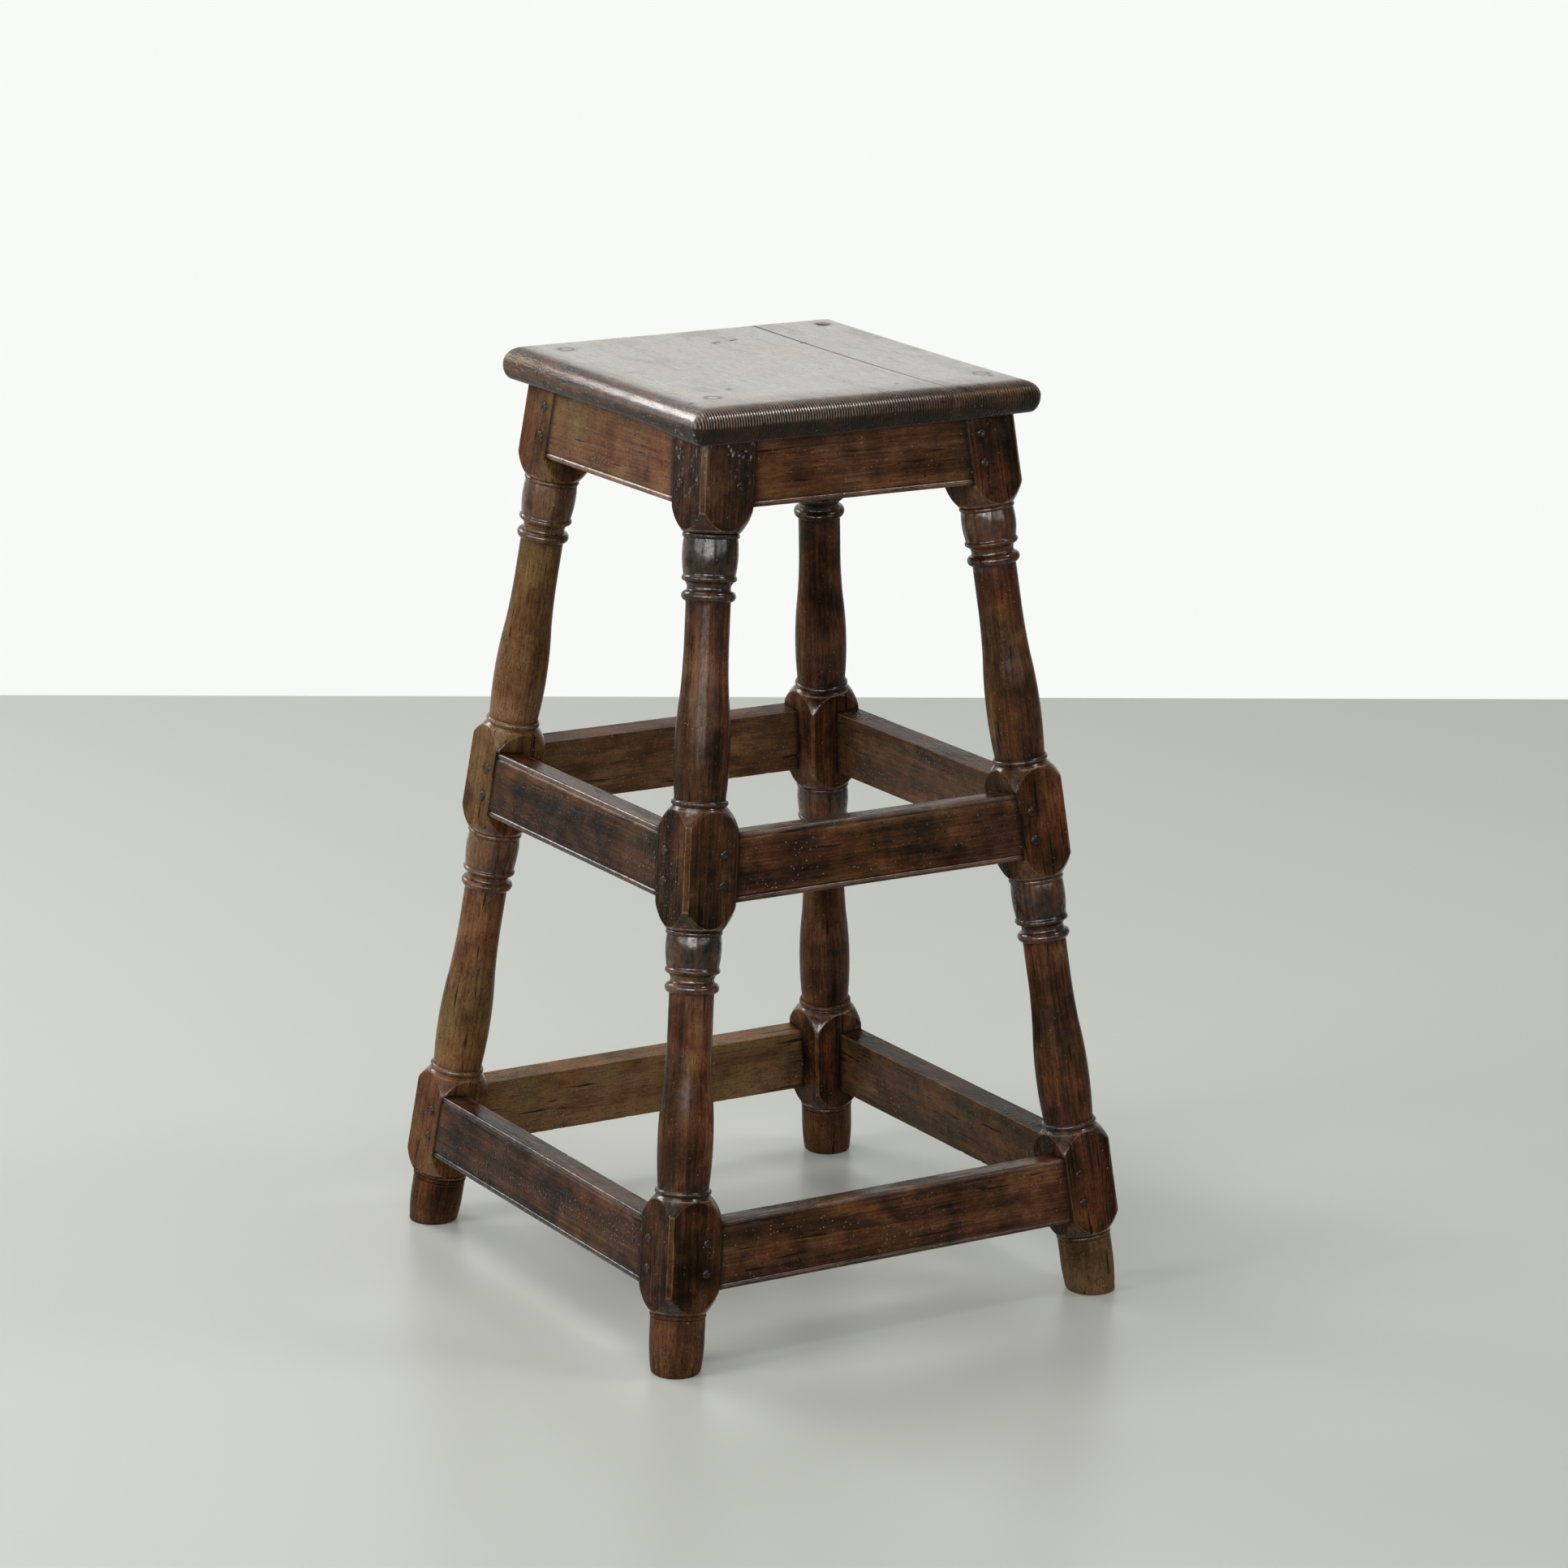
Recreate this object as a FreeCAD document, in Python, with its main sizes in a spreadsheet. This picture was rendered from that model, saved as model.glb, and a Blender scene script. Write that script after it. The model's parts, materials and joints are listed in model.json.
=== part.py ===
import FreeCAD, Part
import os
import Sketcher

# Joint stool in oak: four raking turned legs, twelve rails tenoned into them, a seat of two boards
# and the pegs that hold it all.
# Lengths are in millimetres and angles in degrees. +Z is up and the origin lies on the floor under
# the middle of the seat. The front is towards -Y. "Wide" means along X and "deep" along Y.

SIZES = {
    # the whole stool
    "stool_height": 760,
    "spread_top": 240,  # between the centres of two legs, level with the top of the frame
    "spread_foot_wide": 399,  # between the centres of two legs on the floor, along X
    "spread_foot_deep": 419,  # the same, along Y
    # shared by all joints
    "joint_gap": 0.1,  # between wood and wood, at shoulders, cheeks and pegs
    "overrun": 10,  # how far waste runs past the finished wood
    # legs
    "leg_stock": 48,
    "arris_wear": 1.6,
    "foot_length": 48,
    "block_length": 94.2,
    "top_block_length": 80,
    "shoulder_length": 30,  # of the rounded end of a block, from the turned part to the corners
    # where the middle of that round lies, as shares of its length and of its width
    "shoulder_length_share": 0.36,
    "shoulder_width_share": 0.56,
    # turning: lengths along the leg
    "ring_length": 4.6,
    "barrel_length": 29,
    "bead_length": 4.6,
    "cove_length": 7.3,
    "torus_length": 8.6,
    "neck_length": 36,
    "flare_length": 38.5,
    "belly_rise": 34.5,  # from the ring below the column up to its fullest place
    "foot_taper_length": 25,
    "foot_swell_rise": 10,
    # turning: how deep each place lies below the flats of the blocks
    "shoulder_depth": 1.3,
    "ring_depth": 1.2,
    "ring_root_depth": 3,
    "barrel_depth": 1.75,
    "barrel_top_depth": 2.5,
    "barrel_foot_depth": 3.4,
    "bead_depth": 2,
    "cove_depth": 6.5,
    "torus_depth": 2.35,
    "neck_depth": 6.15,
    "flare_middle_depth": 5.65,
    "flare_depth": 4.5,
    "belly_depth": 1.85,
    "column_foot_depth": 3.6,
    "foot_depth": 1.85,
    "foot_swell_depth": 2.7,
    "sole_depth": 3.9,
    # rails
    "rail_thickness": 23,
    "rail_setback": 1,  # from the face of a leg's block back to the face of the rail
    "stretcher_width": 55,
    "frieze_depth": 58,
    "mould_width": 4.6,  # the rounded edge run along a rail
    "mould_drop": 1.3,
    "quirk_width": 1.6,
    # tenons
    "tenon_thickness": 8,
    "tenon_cheek": 11.5,  # from the face of the rail to its tenon
    "tenon_edge": 6,  # from the edge of the rail to the edge of its tenon
    "frieze_tenon_edge": 15,  # the same, under the seat
    "tenon_heart": 2,  # wood left between the end of a tenon and the tenon that crosses it
    # pegs of the joints
    "peg_radius": 3.7,
    "peg_tip_radius": 3.1,
    "peg_setback": 13.5,  # from the shoulder of the rail
    "peg_spacing": 24,
    "peg_proud": 1.2,
    "peg_bite": 7,  # past the tenon
    # seat
    "board_thickness": 24,
    "overhang_wide": 17,  # from the outer faces of the legs' tops to the edge of the seat, along X
    "overhang_deep": 19,  # the same, along Y
    "seat_corner_radius": 10,
    "narrow_board_width": 88,  # from the edge of the seat to the joint of its two boards
    "nose_rise": 11,  # from the underside up to the widest line of the edge
    "nose_top_run": 17,
    "nose_foot_run": 9,
    "seat_peg_radius": 6,
    "seat_peg_bite": 12,  # into the top of the leg
    "seat_peg_proud": 0.5,
}

# What follows from the sizes, for the formulas of all the pieces.
WORKED = {
    "frame_height": "Sizes.stool_height - Sizes.board_thickness",
    # how far a leg moves along X or along Y for each unit of height, and the angles that gives
    "slope_wide": "(Sizes.spread_foot_wide - Sizes.spread_top) / 2 / frame_height",
    "slope_deep": "(Sizes.spread_foot_deep - Sizes.spread_top) / 2 / frame_height",
    "tilt_wide": "atan(slope_wide)",
    "tilt_deep": "atan(slope_deep)",
    "leg_lean": "atan(sqrt(slope_wide ^ 2 + slope_deep ^ 2))",
    # how far a leg moves along a rail for each unit up the rail's leaning face
    "run_wide": "slope_wide * cos(tilt_deep)",
    "run_deep": "slope_deep * cos(tilt_wide)",
    # places along a leg, from the floor up, and the heights that rails are set at
    "leg_length": "frame_height / cos(leg_lean)",
    "turned_length": "leg_length - Sizes.foot_length - 2 * Sizes.block_length - Sizes.top_block_length",
    "baluster_length": "turned_length / 2",
    "low_baluster_start": "Sizes.foot_length + Sizes.block_length",
    "top_baluster_start": "low_baluster_start + baluster_length + Sizes.block_length",
    "low_middle": "(low_baluster_start - Sizes.block_length / 2) * cos(leg_lean)",
    "mid_middle": "(top_baluster_start - Sizes.block_length / 2) * cos(leg_lean)",
    "frieze_middle": "frame_height - Sizes.frieze_depth / 2",
    # sizes that two pieces share
    "seat_wide": "Sizes.spread_top + Sizes.leg_stock + 2 * Sizes.overhang_wide",
    "seat_deep": "Sizes.spread_top + Sizes.leg_stock + 2 * Sizes.overhang_deep",
    "seat_joint": "seat_wide / 2 - Sizes.narrow_board_width",
    "half_stock": "Sizes.leg_stock / 2",
    "corner_radius": "half_stock * sqrt(2)",
    # where the middle of a quarter round lies, as a share of its width and of its height
    "quarter_share": "sqrt(2) / 2",
    "tenon_reach": "half_stock - Sizes.rail_setback - Sizes.tenon_cheek - Sizes.tenon_thickness"
                   " - Sizes.tenon_heart",
    "peg_length": "Sizes.peg_proud + Sizes.rail_setback + Sizes.tenon_cheek + Sizes.tenon_thickness"
                  " + Sizes.peg_bite",
}

SIDES = ["front", "right", "back", "left"]
# The leg at the end of each side's rails, going round with the sides, and which way it stands out.
CORNERS = ["front_right", "back_right", "back_left", "front_left"]
OUTWARD = {"front_right": (1, -1), "back_right": (1, 1), "back_left": (-1, 1), "front_left": (-1, -1)}
LEVELS = ["low", "mid", "frieze"]
# How far each seat peg stands off its leg's centre, outwards along X and Y, in shares of half the stock.
SEAT_PEG_SHARES = {
    "front_right": (0.5, -0.33),
    "back_right": (0.46, 0.42),
    "back_left": (0, 0.1),
    "front_left": (-0.04, -0.29),
}
QUARTER_TURN = 90
FULL_TURN = 360

doc = FreeCAD.newDocument("joint_stool")


def add_sheet(label, cells):
    """A sheet with a name and a value in each row, the value's cell known by that name."""
    sheet = doc.addObject("Spreadsheet::Sheet", label)
    for row, (alias, content) in enumerate(cells.items(), start=1):
        sheet.set("A%d" % row, alias)
        sheet.set("B%d" % row, content)
        sheet.setAlias("B%d" % row, alias)
    doc.recompute()
    return sheet


add_sheet("Sizes", {alias: str(size) for alias, size in SIZES.items()})
worked = add_sheet("Worked", {alias: "=" + formula for alias, formula in WORKED.items()})


def value(formula):
    """The number that a formula gives with the sizes as they stand."""
    result = worked.evalExpression(formula)
    return float(getattr(result, "Value", result))


def add(kind, name, **bound):
    """An object of the document whose properties are bound to formulas."""
    made = doc.addObject(kind, name)
    for prop, formula in bound.items():
        made.setExpression(prop, formula)
    return made


def join(kind, name, base, tool):
    """A cut or a common of two objects."""
    made = doc.addObject(kind, name)
    made.Base = base
    made.Tool = tool
    return made


def gather(name, members):
    """Objects that belong together, kept as separate solids."""
    made = doc.addObject("Part::Compound", name)
    made.Links = members
    return made


def negated(formula):
    """A formula with its sign changed."""
    return "-(%s)" % formula


# Sketches. An outline is a list of corners, each a pair of formulas. A corner may have a third entry,
# a pair of formulas for a place that the arc to the next corner runs through.

def add_sketch(body, name, plane, offset="0"):
    """An empty sketch on one of a body's own planes, moved along the plane's normal."""
    sketch = body.newObject("Sketcher::SketchObject", name)
    support = [feature for feature in body.Origin.OriginFeatures if feature.Role == plane][0]
    sketch.AttachmentSupport = [(support, "")]
    sketch.MapMode = "FlatFace"
    sketch.setExpression("AttachmentOffset.Base.z", offset)
    return sketch


def pin(sketch, geometry, place, corner):
    """Holds a point of a sketch at a corner given by formulas."""
    for kind, formula in zip(("DistanceX", "DistanceY"), corner):
        index = sketch.addConstraint(Sketcher.Constraint(kind, -1, 1, geometry, place, value(formula)))
        sketch.setExpression("Constraints[%d]" % index, formula)


def draw(sketch, outline):
    """Draws a closed outline of lines and arcs, with every corner bound to its formulas."""
    spots = [FreeCAD.Vector(value(corner[0]), value(corner[1]), 0) for corner in outline]
    ends = []
    for number, corner in enumerate(outline):
        start = spots[number]
        finish = spots[(number + 1) % len(spots)]
        if len(corner) == 2:
            ends.append((sketch.addGeometry(Part.LineSegment(start, finish), False), 1, 2))
            continue
        through = FreeCAD.Vector(value(corner[2][0]), value(corner[2][1]), 0)
        turns_left = (through - start).cross(finish - through).z > 0
        first, last = (start, finish) if turns_left else (finish, start)
        arc = sketch.addGeometry(Part.Arc(first, through, last), False)
        ends.append((arc, 1, 2) if turns_left else (arc, 2, 1))
        mark = sketch.addGeometry(Part.Point(through), True)
        pin(sketch, mark, 1, corner[2])
        sketch.addConstraint(Sketcher.Constraint("PointOnObject", mark, 1, arc))
    for number, corner in enumerate(outline):
        geometry, start, finish = ends[number]
        following, following_start, _ = ends[(number + 1) % len(ends)]
        pin(sketch, geometry, start, corner[:2])
        sketch.addConstraint(
            Sketcher.Constraint("Coincident", geometry, finish, following, following_start))


def pad(body, name, sketch, length, both_ways=False, reverse=False):
    """Wood of a sketch's outline, as long as a formula says."""
    made = body.newObject("PartDesign::Pad", name)
    made.Profile = sketch
    made.setExpression("Length", length)
    made.Midplane = both_ways
    made.Reversed = reverse
    sketch.Visibility = False
    return made


def turn_away(body, name, outline):
    """Waste turned off all round the length of a leg."""
    sketch = add_sketch(body, name + "_outline", "XZ_Plane")
    draw(sketch, outline)
    made = body.newObject("PartDesign::Groove", name)
    made.Profile = sketch
    made.ReferenceAxis = (sketch, ["V_Axis"])
    made.Angle = FULL_TURN
    return made


# Legs. A leg is made upright, with its centre line on Z and the floor at zero, then leant over.

def at_depth(depth):
    """The radius of a turned place, from how deep it lies below the flats."""
    return "Worked.half_stock - Sizes.%s_depth" % depth


def turned(depth, height):
    """A place on a turned outline: how deep it lies below the flats, and how far along the leg."""
    return at_depth(depth), height


def swell(depth, start, stretch):
    """The fullest or the narrowest place of a moulding, halfway along its stretch of the leg."""
    return turned(depth, "%s + Sizes.%s_length / 2" % (start, stretch))


PAST_BLANK = "Sizes.leg_stock"
PAST_CORNER = "Worked.corner_radius + Sizes.joint_gap"


def shoulder(block_end, upward):
    """The rounded end of a block, from the turned part out to the corners: its start, middle and end."""
    sign = "+" if upward else "-"
    far = "%s %s Sizes.shoulder_length" % (block_end, sign)
    middle = "%s %s Sizes.shoulder_length * Sizes.shoulder_length_share" % (block_end, sign)
    start_radius = at_depth("shoulder")
    width = "(%s - (%s)) * Sizes.shoulder_width_share" % (PAST_CORNER, start_radius)
    middle_radius = "%s + %s" % (start_radius, width)
    return (start_radius, block_end), (middle_radius, middle), (PAST_CORNER, far)


def ring(start):
    """The rounded ring that ends a turned part, as the corners of its two edges."""
    end = start + " + Sizes.ring_length"
    root = at_depth("ring_root")
    return [(root, start, swell("ring", start, "ring")), (root, end)]


def foot_outline():
    """The waste round the foot, up to the corners of the lowest block."""
    start, middle, end = shoulder("Sizes.foot_length", True)
    return [
        (PAST_BLANK, "-Sizes.overrun"),
        turned("sole", "-Sizes.overrun"),
        turned("sole", "0") + (turned("foot_swell", "Sizes.foot_swell_rise"),),
        turned("foot", "Sizes.foot_taper_length"),
        turned("foot", "Sizes.foot_length - Sizes.ring_length"),
    ] + ring("Sizes.foot_length - Sizes.ring_length") + [
        start + (middle,),
        end,
        (PAST_BLANK, end[1]),
    ]


def baluster_outline(start):
    """The waste round a baluster, from the block below to the block above."""
    end = start + " + Worked.baluster_length"
    column_foot = start + " + Sizes.ring_length"
    barrel_top = end + " - Sizes.ring_length"
    barrel_foot = barrel_top + " - Sizes.barrel_length"
    bead_foot = barrel_foot + " - Sizes.bead_length"
    cove_foot = bead_foot + " - Sizes.cove_length"
    torus_foot = cove_foot + " - Sizes.torus_length"
    flare_top = torus_foot + " - Sizes.neck_length"
    flare_foot = flare_top + " - Sizes.flare_length"
    low_start, low_middle, low_end = shoulder(start, False)
    top_start, top_middle, top_end = shoulder(end, True)
    return [
        (PAST_BLANK, low_end[1]),
        low_end + (low_middle,),
        low_start,
    ] + ring(start) + [
        turned("column_foot", column_foot) + (turned("belly", column_foot + " + Sizes.belly_rise"),),
        turned("flare", flare_foot) + (swell("flare_middle", flare_foot, "flare"),),
        turned("neck", flare_top),
        turned("neck", torus_foot) + (swell("torus", torus_foot, "torus"),),
        turned("neck", cove_foot) + (swell("cove", cove_foot, "cove"),),
        turned("barrel_foot", bead_foot) + (swell("bead", bead_foot, "bead"),),
        turned("barrel_foot", barrel_foot) + (swell("barrel", barrel_foot, "barrel"),),
        turned("barrel_top", barrel_top),
    ] + ring(barrel_top) + [
        top_start + (top_middle,),
        top_end,
        (PAST_BLANK, top_end[1]),
    ]


def blank_outline():
    """The square of a leg's stock with its worn corners, going round."""
    flat = "Worked.half_stock"
    edge = "Worked.half_stock - Sizes.arris_wear"
    return [
        (flat, negated(edge)),
        (flat, edge),
        (edge, flat),
        (negated(edge), flat),
        (negated(flat), edge),
        (negated(flat), negated(edge)),
        (negated(edge), negated(flat)),
        (edge, negated(flat)),
    ]


def add_leg_stick(corner):
    """A leg as it leaves the lathe, leant to its place, still too long at both ends."""
    body = doc.addObject("PartDesign::Body", "stick_" + corner)
    blank = add_sketch(body, "blank_" + corner, "XY_Plane", "-Sizes.overrun")
    draw(blank, blank_outline())
    pad(body, "stock_" + corner, blank, "Worked.leg_length + 2 * Sizes.overrun")
    turn_away(body, "foot_" + corner, foot_outline())
    turn_away(body, "low_baluster_" + corner, baluster_outline("Worked.low_baluster_start"))
    turn_away(body, "top_baluster_" + corner, baluster_outline("Worked.top_baluster_start"))
    out_wide, out_deep = OUTWARD[corner]
    body.setExpression(
        "Placement",
        "placement(vector(%d * Sizes.spread_foot_wide / 2; %d * Sizes.spread_foot_deep / 2; 0);"
        " rotation(vector(%d * Worked.slope_deep; %d * Worked.slope_wide; 0); Worked.leg_lean))"
        % (out_wide, out_deep, out_deep, -out_wide))
    return body


# Rails. A rail is made with its face on the XZ plane, its length along X and its middle at zero, then
# leant back and turned to its side of the stool.

class RailPlace:
    """Where the rails of one side and level lie, as formulas in the rail's own frame."""

    def __init__(self, side, level):
        turns = SIDES.index(side)
        along, across = ("wide", "deep") if turns % 2 == 0 else ("deep", "wide")
        self.run = "Worked.run_" + along
        self.tilt = "Worked.tilt_" + across
        middle = "Worked.%s_middle" % level
        self.axis_at_middle = "(Sizes.spread_foot_%s / 2 - %s * Worked.slope_%s)" % (along, middle, along)
        self.widening = "sqrt(1 + %s ^ 2)" % self.run
        face = ("Sizes.spread_foot_%s / 2 - %s * Worked.slope_%s"
                " + (Worked.half_stock - Sizes.rail_setback) / cos(%s)" % (across, middle, across, self.tilt))
        self.placement = (
            "placement(vector(0; 0; 0); rotation(vector(0; 0; 1); %d))"
            " * placement(vector(0; -(%s); %s); rotation(vector(1; 0; 0); -%s))"
            % (turns * QUARTER_TURN, face, middle, self.tilt))
        if level == "frieze":
            self.foot = "-Sizes.frieze_depth / 2 / cos(%s)" % self.tilt
            self.top = "Sizes.frieze_depth / 2 / cos(%s) + Sizes.overrun" % self.tilt
            self.tenon_top = "Sizes.frieze_depth / 2 - Sizes.frieze_tenon_edge"
        else:
            self.foot = "-Sizes.stretcher_width / 2"
            self.top = "Sizes.stretcher_width / 2"
            self.tenon_top = "Sizes.stretcher_width / 2 - Sizes.tenon_edge"
        self.tenon_foot = self.foot + " + Sizes.tenon_edge"

    def from_leg(self, distance, height):
        """How far along the rail a line lies that keeps its distance from the leg's centre line."""
        return "%s - (%s) * %s + (%s) * %s" % (self.axis_at_middle, height, self.run, distance, self.widening)


def plate(place, reach, foot, top):
    """A plate with both ends cut to the lean of the legs, as the corners of its face."""
    return [
        (negated(place.from_leg(reach, foot)), foot),
        (place.from_leg(reach, foot), foot),
        (place.from_leg(reach, top), top),
        (negated(place.from_leg(reach, top)), top),
    ]


def rail_section(place, mould_on_top):
    """A rail's section, with its rounded edges, from the face inwards."""
    thickness = "Sizes.rail_thickness"
    drop = "Sizes.mould_drop"
    foot = place.foot
    corners = [
        (drop, foot, ("0", foot + " + Sizes.mould_width / 2")),
        (drop, foot + " + Sizes.mould_width"),
        ("0", foot + " + Sizes.mould_width + Sizes.quirk_width"),
    ]
    if mould_on_top:
        top = place.top
        corners += [
            ("0", top + " - Sizes.mould_width - Sizes.quirk_width"),
            (drop, top + " - Sizes.mould_width", ("0", top + " - Sizes.mould_width / 2")),
            (drop, top),
        ]
    else:
        corners.append(("0", place.top))
    return corners + [(thickness, place.top), (thickness, foot)]


def add_rail_body(name, place, level):
    """A rail with its mouldings, its slanting shoulders and its tenons, leant into its place."""
    body = doc.addObject("PartDesign::Body", name + "_stick")
    section = add_sketch(body, name + "_section", "YZ_Plane")
    draw(section, rail_section(place, level != "frieze"))
    pad(body, name + "_stock", section, "2 * Sizes.spread_foot_deep", both_ways=True)

    # The ends go by a pocket each, whose inner line is the shoulder.
    shoulder_reach = "-Worked.half_stock - Sizes.joint_gap"
    low = place.foot + " - Sizes.overrun"
    high = place.top + " + Sizes.overrun"
    for end, sign in (("right", "+"), ("left", "-")):
        waste = add_sketch(body, "%s_waste_%s" % (name, end), "XZ_Plane")
        beyond = "%s2 * Sizes.spread_foot_deep" % sign
        draw(waste, [
            ("%s(%s)" % (sign, place.from_leg(shoulder_reach, low)), low),
            (beyond, low),
            (beyond, high),
            ("%s(%s)" % (sign, place.from_leg(shoulder_reach, high)), high),
        ])
        cut = body.newObject("PartDesign::Pocket", "%s_shoulder_%s" % (name, end))
        cut.Profile = waste
        cut.setExpression("Length", "2 * (Sizes.rail_thickness + Sizes.overrun)")
        cut.Midplane = True

    tenons = add_sketch(body, name + "_tenon_outline", "XZ_Plane", "-Sizes.tenon_cheek")
    draw(tenons, plate(place, "Worked.tenon_reach", place.tenon_foot, place.tenon_top))
    pad(body, name + "_tenons", tenons, "Sizes.tenon_thickness", reverse=True)
    body.setExpression("Placement", place.placement)
    return body


def add_mortise(name, place):
    """What the tenons of a rail need taken out of the legs: the tenons and a gap all round."""
    body = doc.addObject("PartDesign::Body", name + "_mortise")
    outline = add_sketch(body, name + "_mortise_outline", "XZ_Plane", "-Sizes.tenon_cheek + Sizes.joint_gap")
    draw(outline, plate(
        place,
        "Worked.tenon_reach + Sizes.joint_gap",
        place.tenon_foot + " - Sizes.joint_gap",
        place.tenon_top + " + Sizes.joint_gap"))
    pad(body, name + "_mortise_room", outline, "Sizes.tenon_thickness + 2 * Sizes.joint_gap", reverse=True)
    body.setExpression("Placement", place.placement)
    return body


def peg_place(rail_body, place, sign, height, start):
    """A formula for the place of a peg that is driven into a rail's face."""
    along = place.from_leg("-Worked.half_stock + Sizes.peg_setback", height)
    return ("%s.Placement * placement(vector(%s(%s); %s; %s); rotation(vector(1; 0; 0); -%d))"
            % (rail_body.Name, sign, along, start, height, QUARTER_TURN))


def add_rail_pegs(name, rail_body, place, corner, sign):
    """The two pegs at one end of a rail, and the two bores that they are driven into."""
    pegs = []
    bores = []
    head = "-Sizes.rail_setback - Sizes.peg_proud"
    for row, height in (("high", "Sizes.peg_spacing / 2"), ("low", "-Sizes.peg_spacing / 2")):
        label = "%s_%s_%s" % (name, corner, row)
        pegs.append(add(
            "Part::Cone", "peg_" + label,
            Radius1="Sizes.peg_radius", Radius2="Sizes.peg_tip_radius", Height="Worked.peg_length",
            Placement=peg_place(rail_body, place, sign, height, head)))
        bores.append(add(
            "Part::Cylinder", "bore_" + label,
            Radius="Sizes.peg_radius + Sizes.joint_gap",
            Height="Worked.peg_length + Sizes.overrun + Sizes.joint_gap",
            Placement=peg_place(rail_body, place, sign, height, head + " - Sizes.overrun")))
    return pegs, bores


# Seat. Each board is its own outline in plan, kept where the edge mouldings of the whole seat leave it.

def add_edge_mould(name, plane, across):
    """The section of the whole seat across one direction, with its rounded edges."""
    body = doc.addObject("PartDesign::Body", name)
    section = add_sketch(body, name + "_section", plane)
    half = "Worked.seat_%s / 2" % across
    under = "Worked.frame_height"
    nose = "%s + Sizes.nose_rise" % under
    top = "Sizes.stool_height"
    short = "(1 - Worked.quarter_share)"
    foot_middle = ("%s - Sizes.nose_foot_run * %s" % (half, short),
                   "%s + Sizes.nose_rise * %s" % (under, short))
    top_middle = ("%s - Sizes.nose_top_run * %s" % (half, short),
                  nose + " + (Sizes.board_thickness - Sizes.nose_rise) * Worked.quarter_share")
    foot_edge = half + " - Sizes.nose_foot_run"
    top_edge = half + " - Sizes.nose_top_run"
    draw(section, [
        (foot_edge, under, foot_middle),
        (half, nose, top_middle),
        (top_edge, top),
        (negated(top_edge), top, (negated(top_middle[0]), top_middle[1])),
        (negated(half), nose, (negated(foot_middle[0]), foot_middle[1])),
        (negated(foot_edge), under),
    ])
    pad(body, name + "_length", section, "2 * (Worked.seat_wide + Worked.seat_deep)", both_ways=True)
    return body


def add_board_plan(name, sign):
    """One board in plan: its two outer corners rounded, its inner edge along the joint of the boards."""
    body = doc.addObject("PartDesign::Body", name + "_plan")
    outline = add_sketch(body, name + "_plan_outline", "XY_Plane", "Worked.frame_height")
    side = "%sWorked.seat_wide / 2" % sign
    inward = "-" if sign == "+" else "+"
    front = "-Worked.seat_deep / 2"
    back = "Worked.seat_deep / 2"
    radius = "Sizes.seat_corner_radius"
    corner_cut = radius + " * (1 - Worked.quarter_share)"
    joint = "Worked.seat_joint %s Sizes.joint_gap / 2" % sign
    draw(outline, [
        (joint, front),
        ("%s %s %s" % (side, inward, radius), front,
         ("%s %s %s" % (side, inward, corner_cut), "%s + %s" % (front, corner_cut))),
        (side, "%s + %s" % (front, radius)),
        (side, "%s - %s" % (back, radius),
         ("%s %s %s" % (side, inward, corner_cut), "%s - %s" % (back, corner_cut))),
        ("%s %s %s" % (side, inward, radius), back),
        (joint, back),
    ])
    pad(body, name + "_thickness", outline, "Sizes.board_thickness")
    return body


def add_seat_peg(corner):
    """A peg through the seat into the top of a leg, and its bore."""
    spots = tuple(
        "%d * (Sizes.spread_top / 2 + %s * Worked.half_stock)" % (out, share)
        for out, share in zip(OUTWARD[corner], SEAT_PEG_SHARES[corner]))
    place = "translationm(%s; %s; Worked.frame_height - Sizes.seat_peg_bite)" % spots
    peg = add(
        "Part::Cylinder", "seat_peg_" + corner,
        Radius="Sizes.seat_peg_radius",
        Height="Sizes.board_thickness + Sizes.seat_peg_bite + Sizes.seat_peg_proud",
        Placement=place)
    bore = add(
        "Part::Cylinder", "seat_bore_" + corner,
        Radius="Sizes.seat_peg_radius + Sizes.joint_gap",
        Height="Sizes.board_thickness + Sizes.seat_peg_bite + Sizes.overrun",
        Placement=place)
    return peg, bore


# Assembly of the document.
pieces = {}

# The frame ends level: nothing of it reaches below the floor or above the underside of the seat.
level_room = add(
    "Part::Box", "level_room",
    Length="2 * Sizes.spread_foot_wide", Width="2 * Sizes.spread_foot_deep", Height="Worked.frame_height",
    Placement="translationm(-Sizes.spread_foot_wide; -Sizes.spread_foot_deep; 0)")

mortises = {corner: [] for corner in CORNERS}
bores_of_leg = {corner: [] for corner in CORNERS}
pegs_of_joint = {(corner, level): [] for corner in CORNERS for level in LEVELS}

for level in LEVELS:
    for turn, side in enumerate(SIDES):
        name = ("frieze_rail_" if level == "frieze" else level + "_stretcher_") + side
        place = RailPlace(side, level)
        rail = add_rail_body(name, place, level)
        mortise = add_mortise(name, place)
        bores = []
        for corner, sign in ((CORNERS[turn], "+"), (CORNERS[turn - 1], "-")):
            pegs, pair = add_rail_pegs(name, rail, place, corner, sign)
            pegs_of_joint[corner, level] += pegs
            bores_of_leg[corner] += pair
            mortises[corner].append(mortise)
            bores += pair
        if level == "frieze":
            rail = join("Part::Common", name + "_levelled", rail, level_room)
        pieces[name] = join("Part::Cut", name + "_bored", rail, gather(name + "_bores", bores))

seat_pegs = []
seat_bores = {}
for corner in CORNERS:
    peg, bore = add_seat_peg(corner)
    seat_pegs.append(peg)
    seat_bores[corner] = bore

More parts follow.
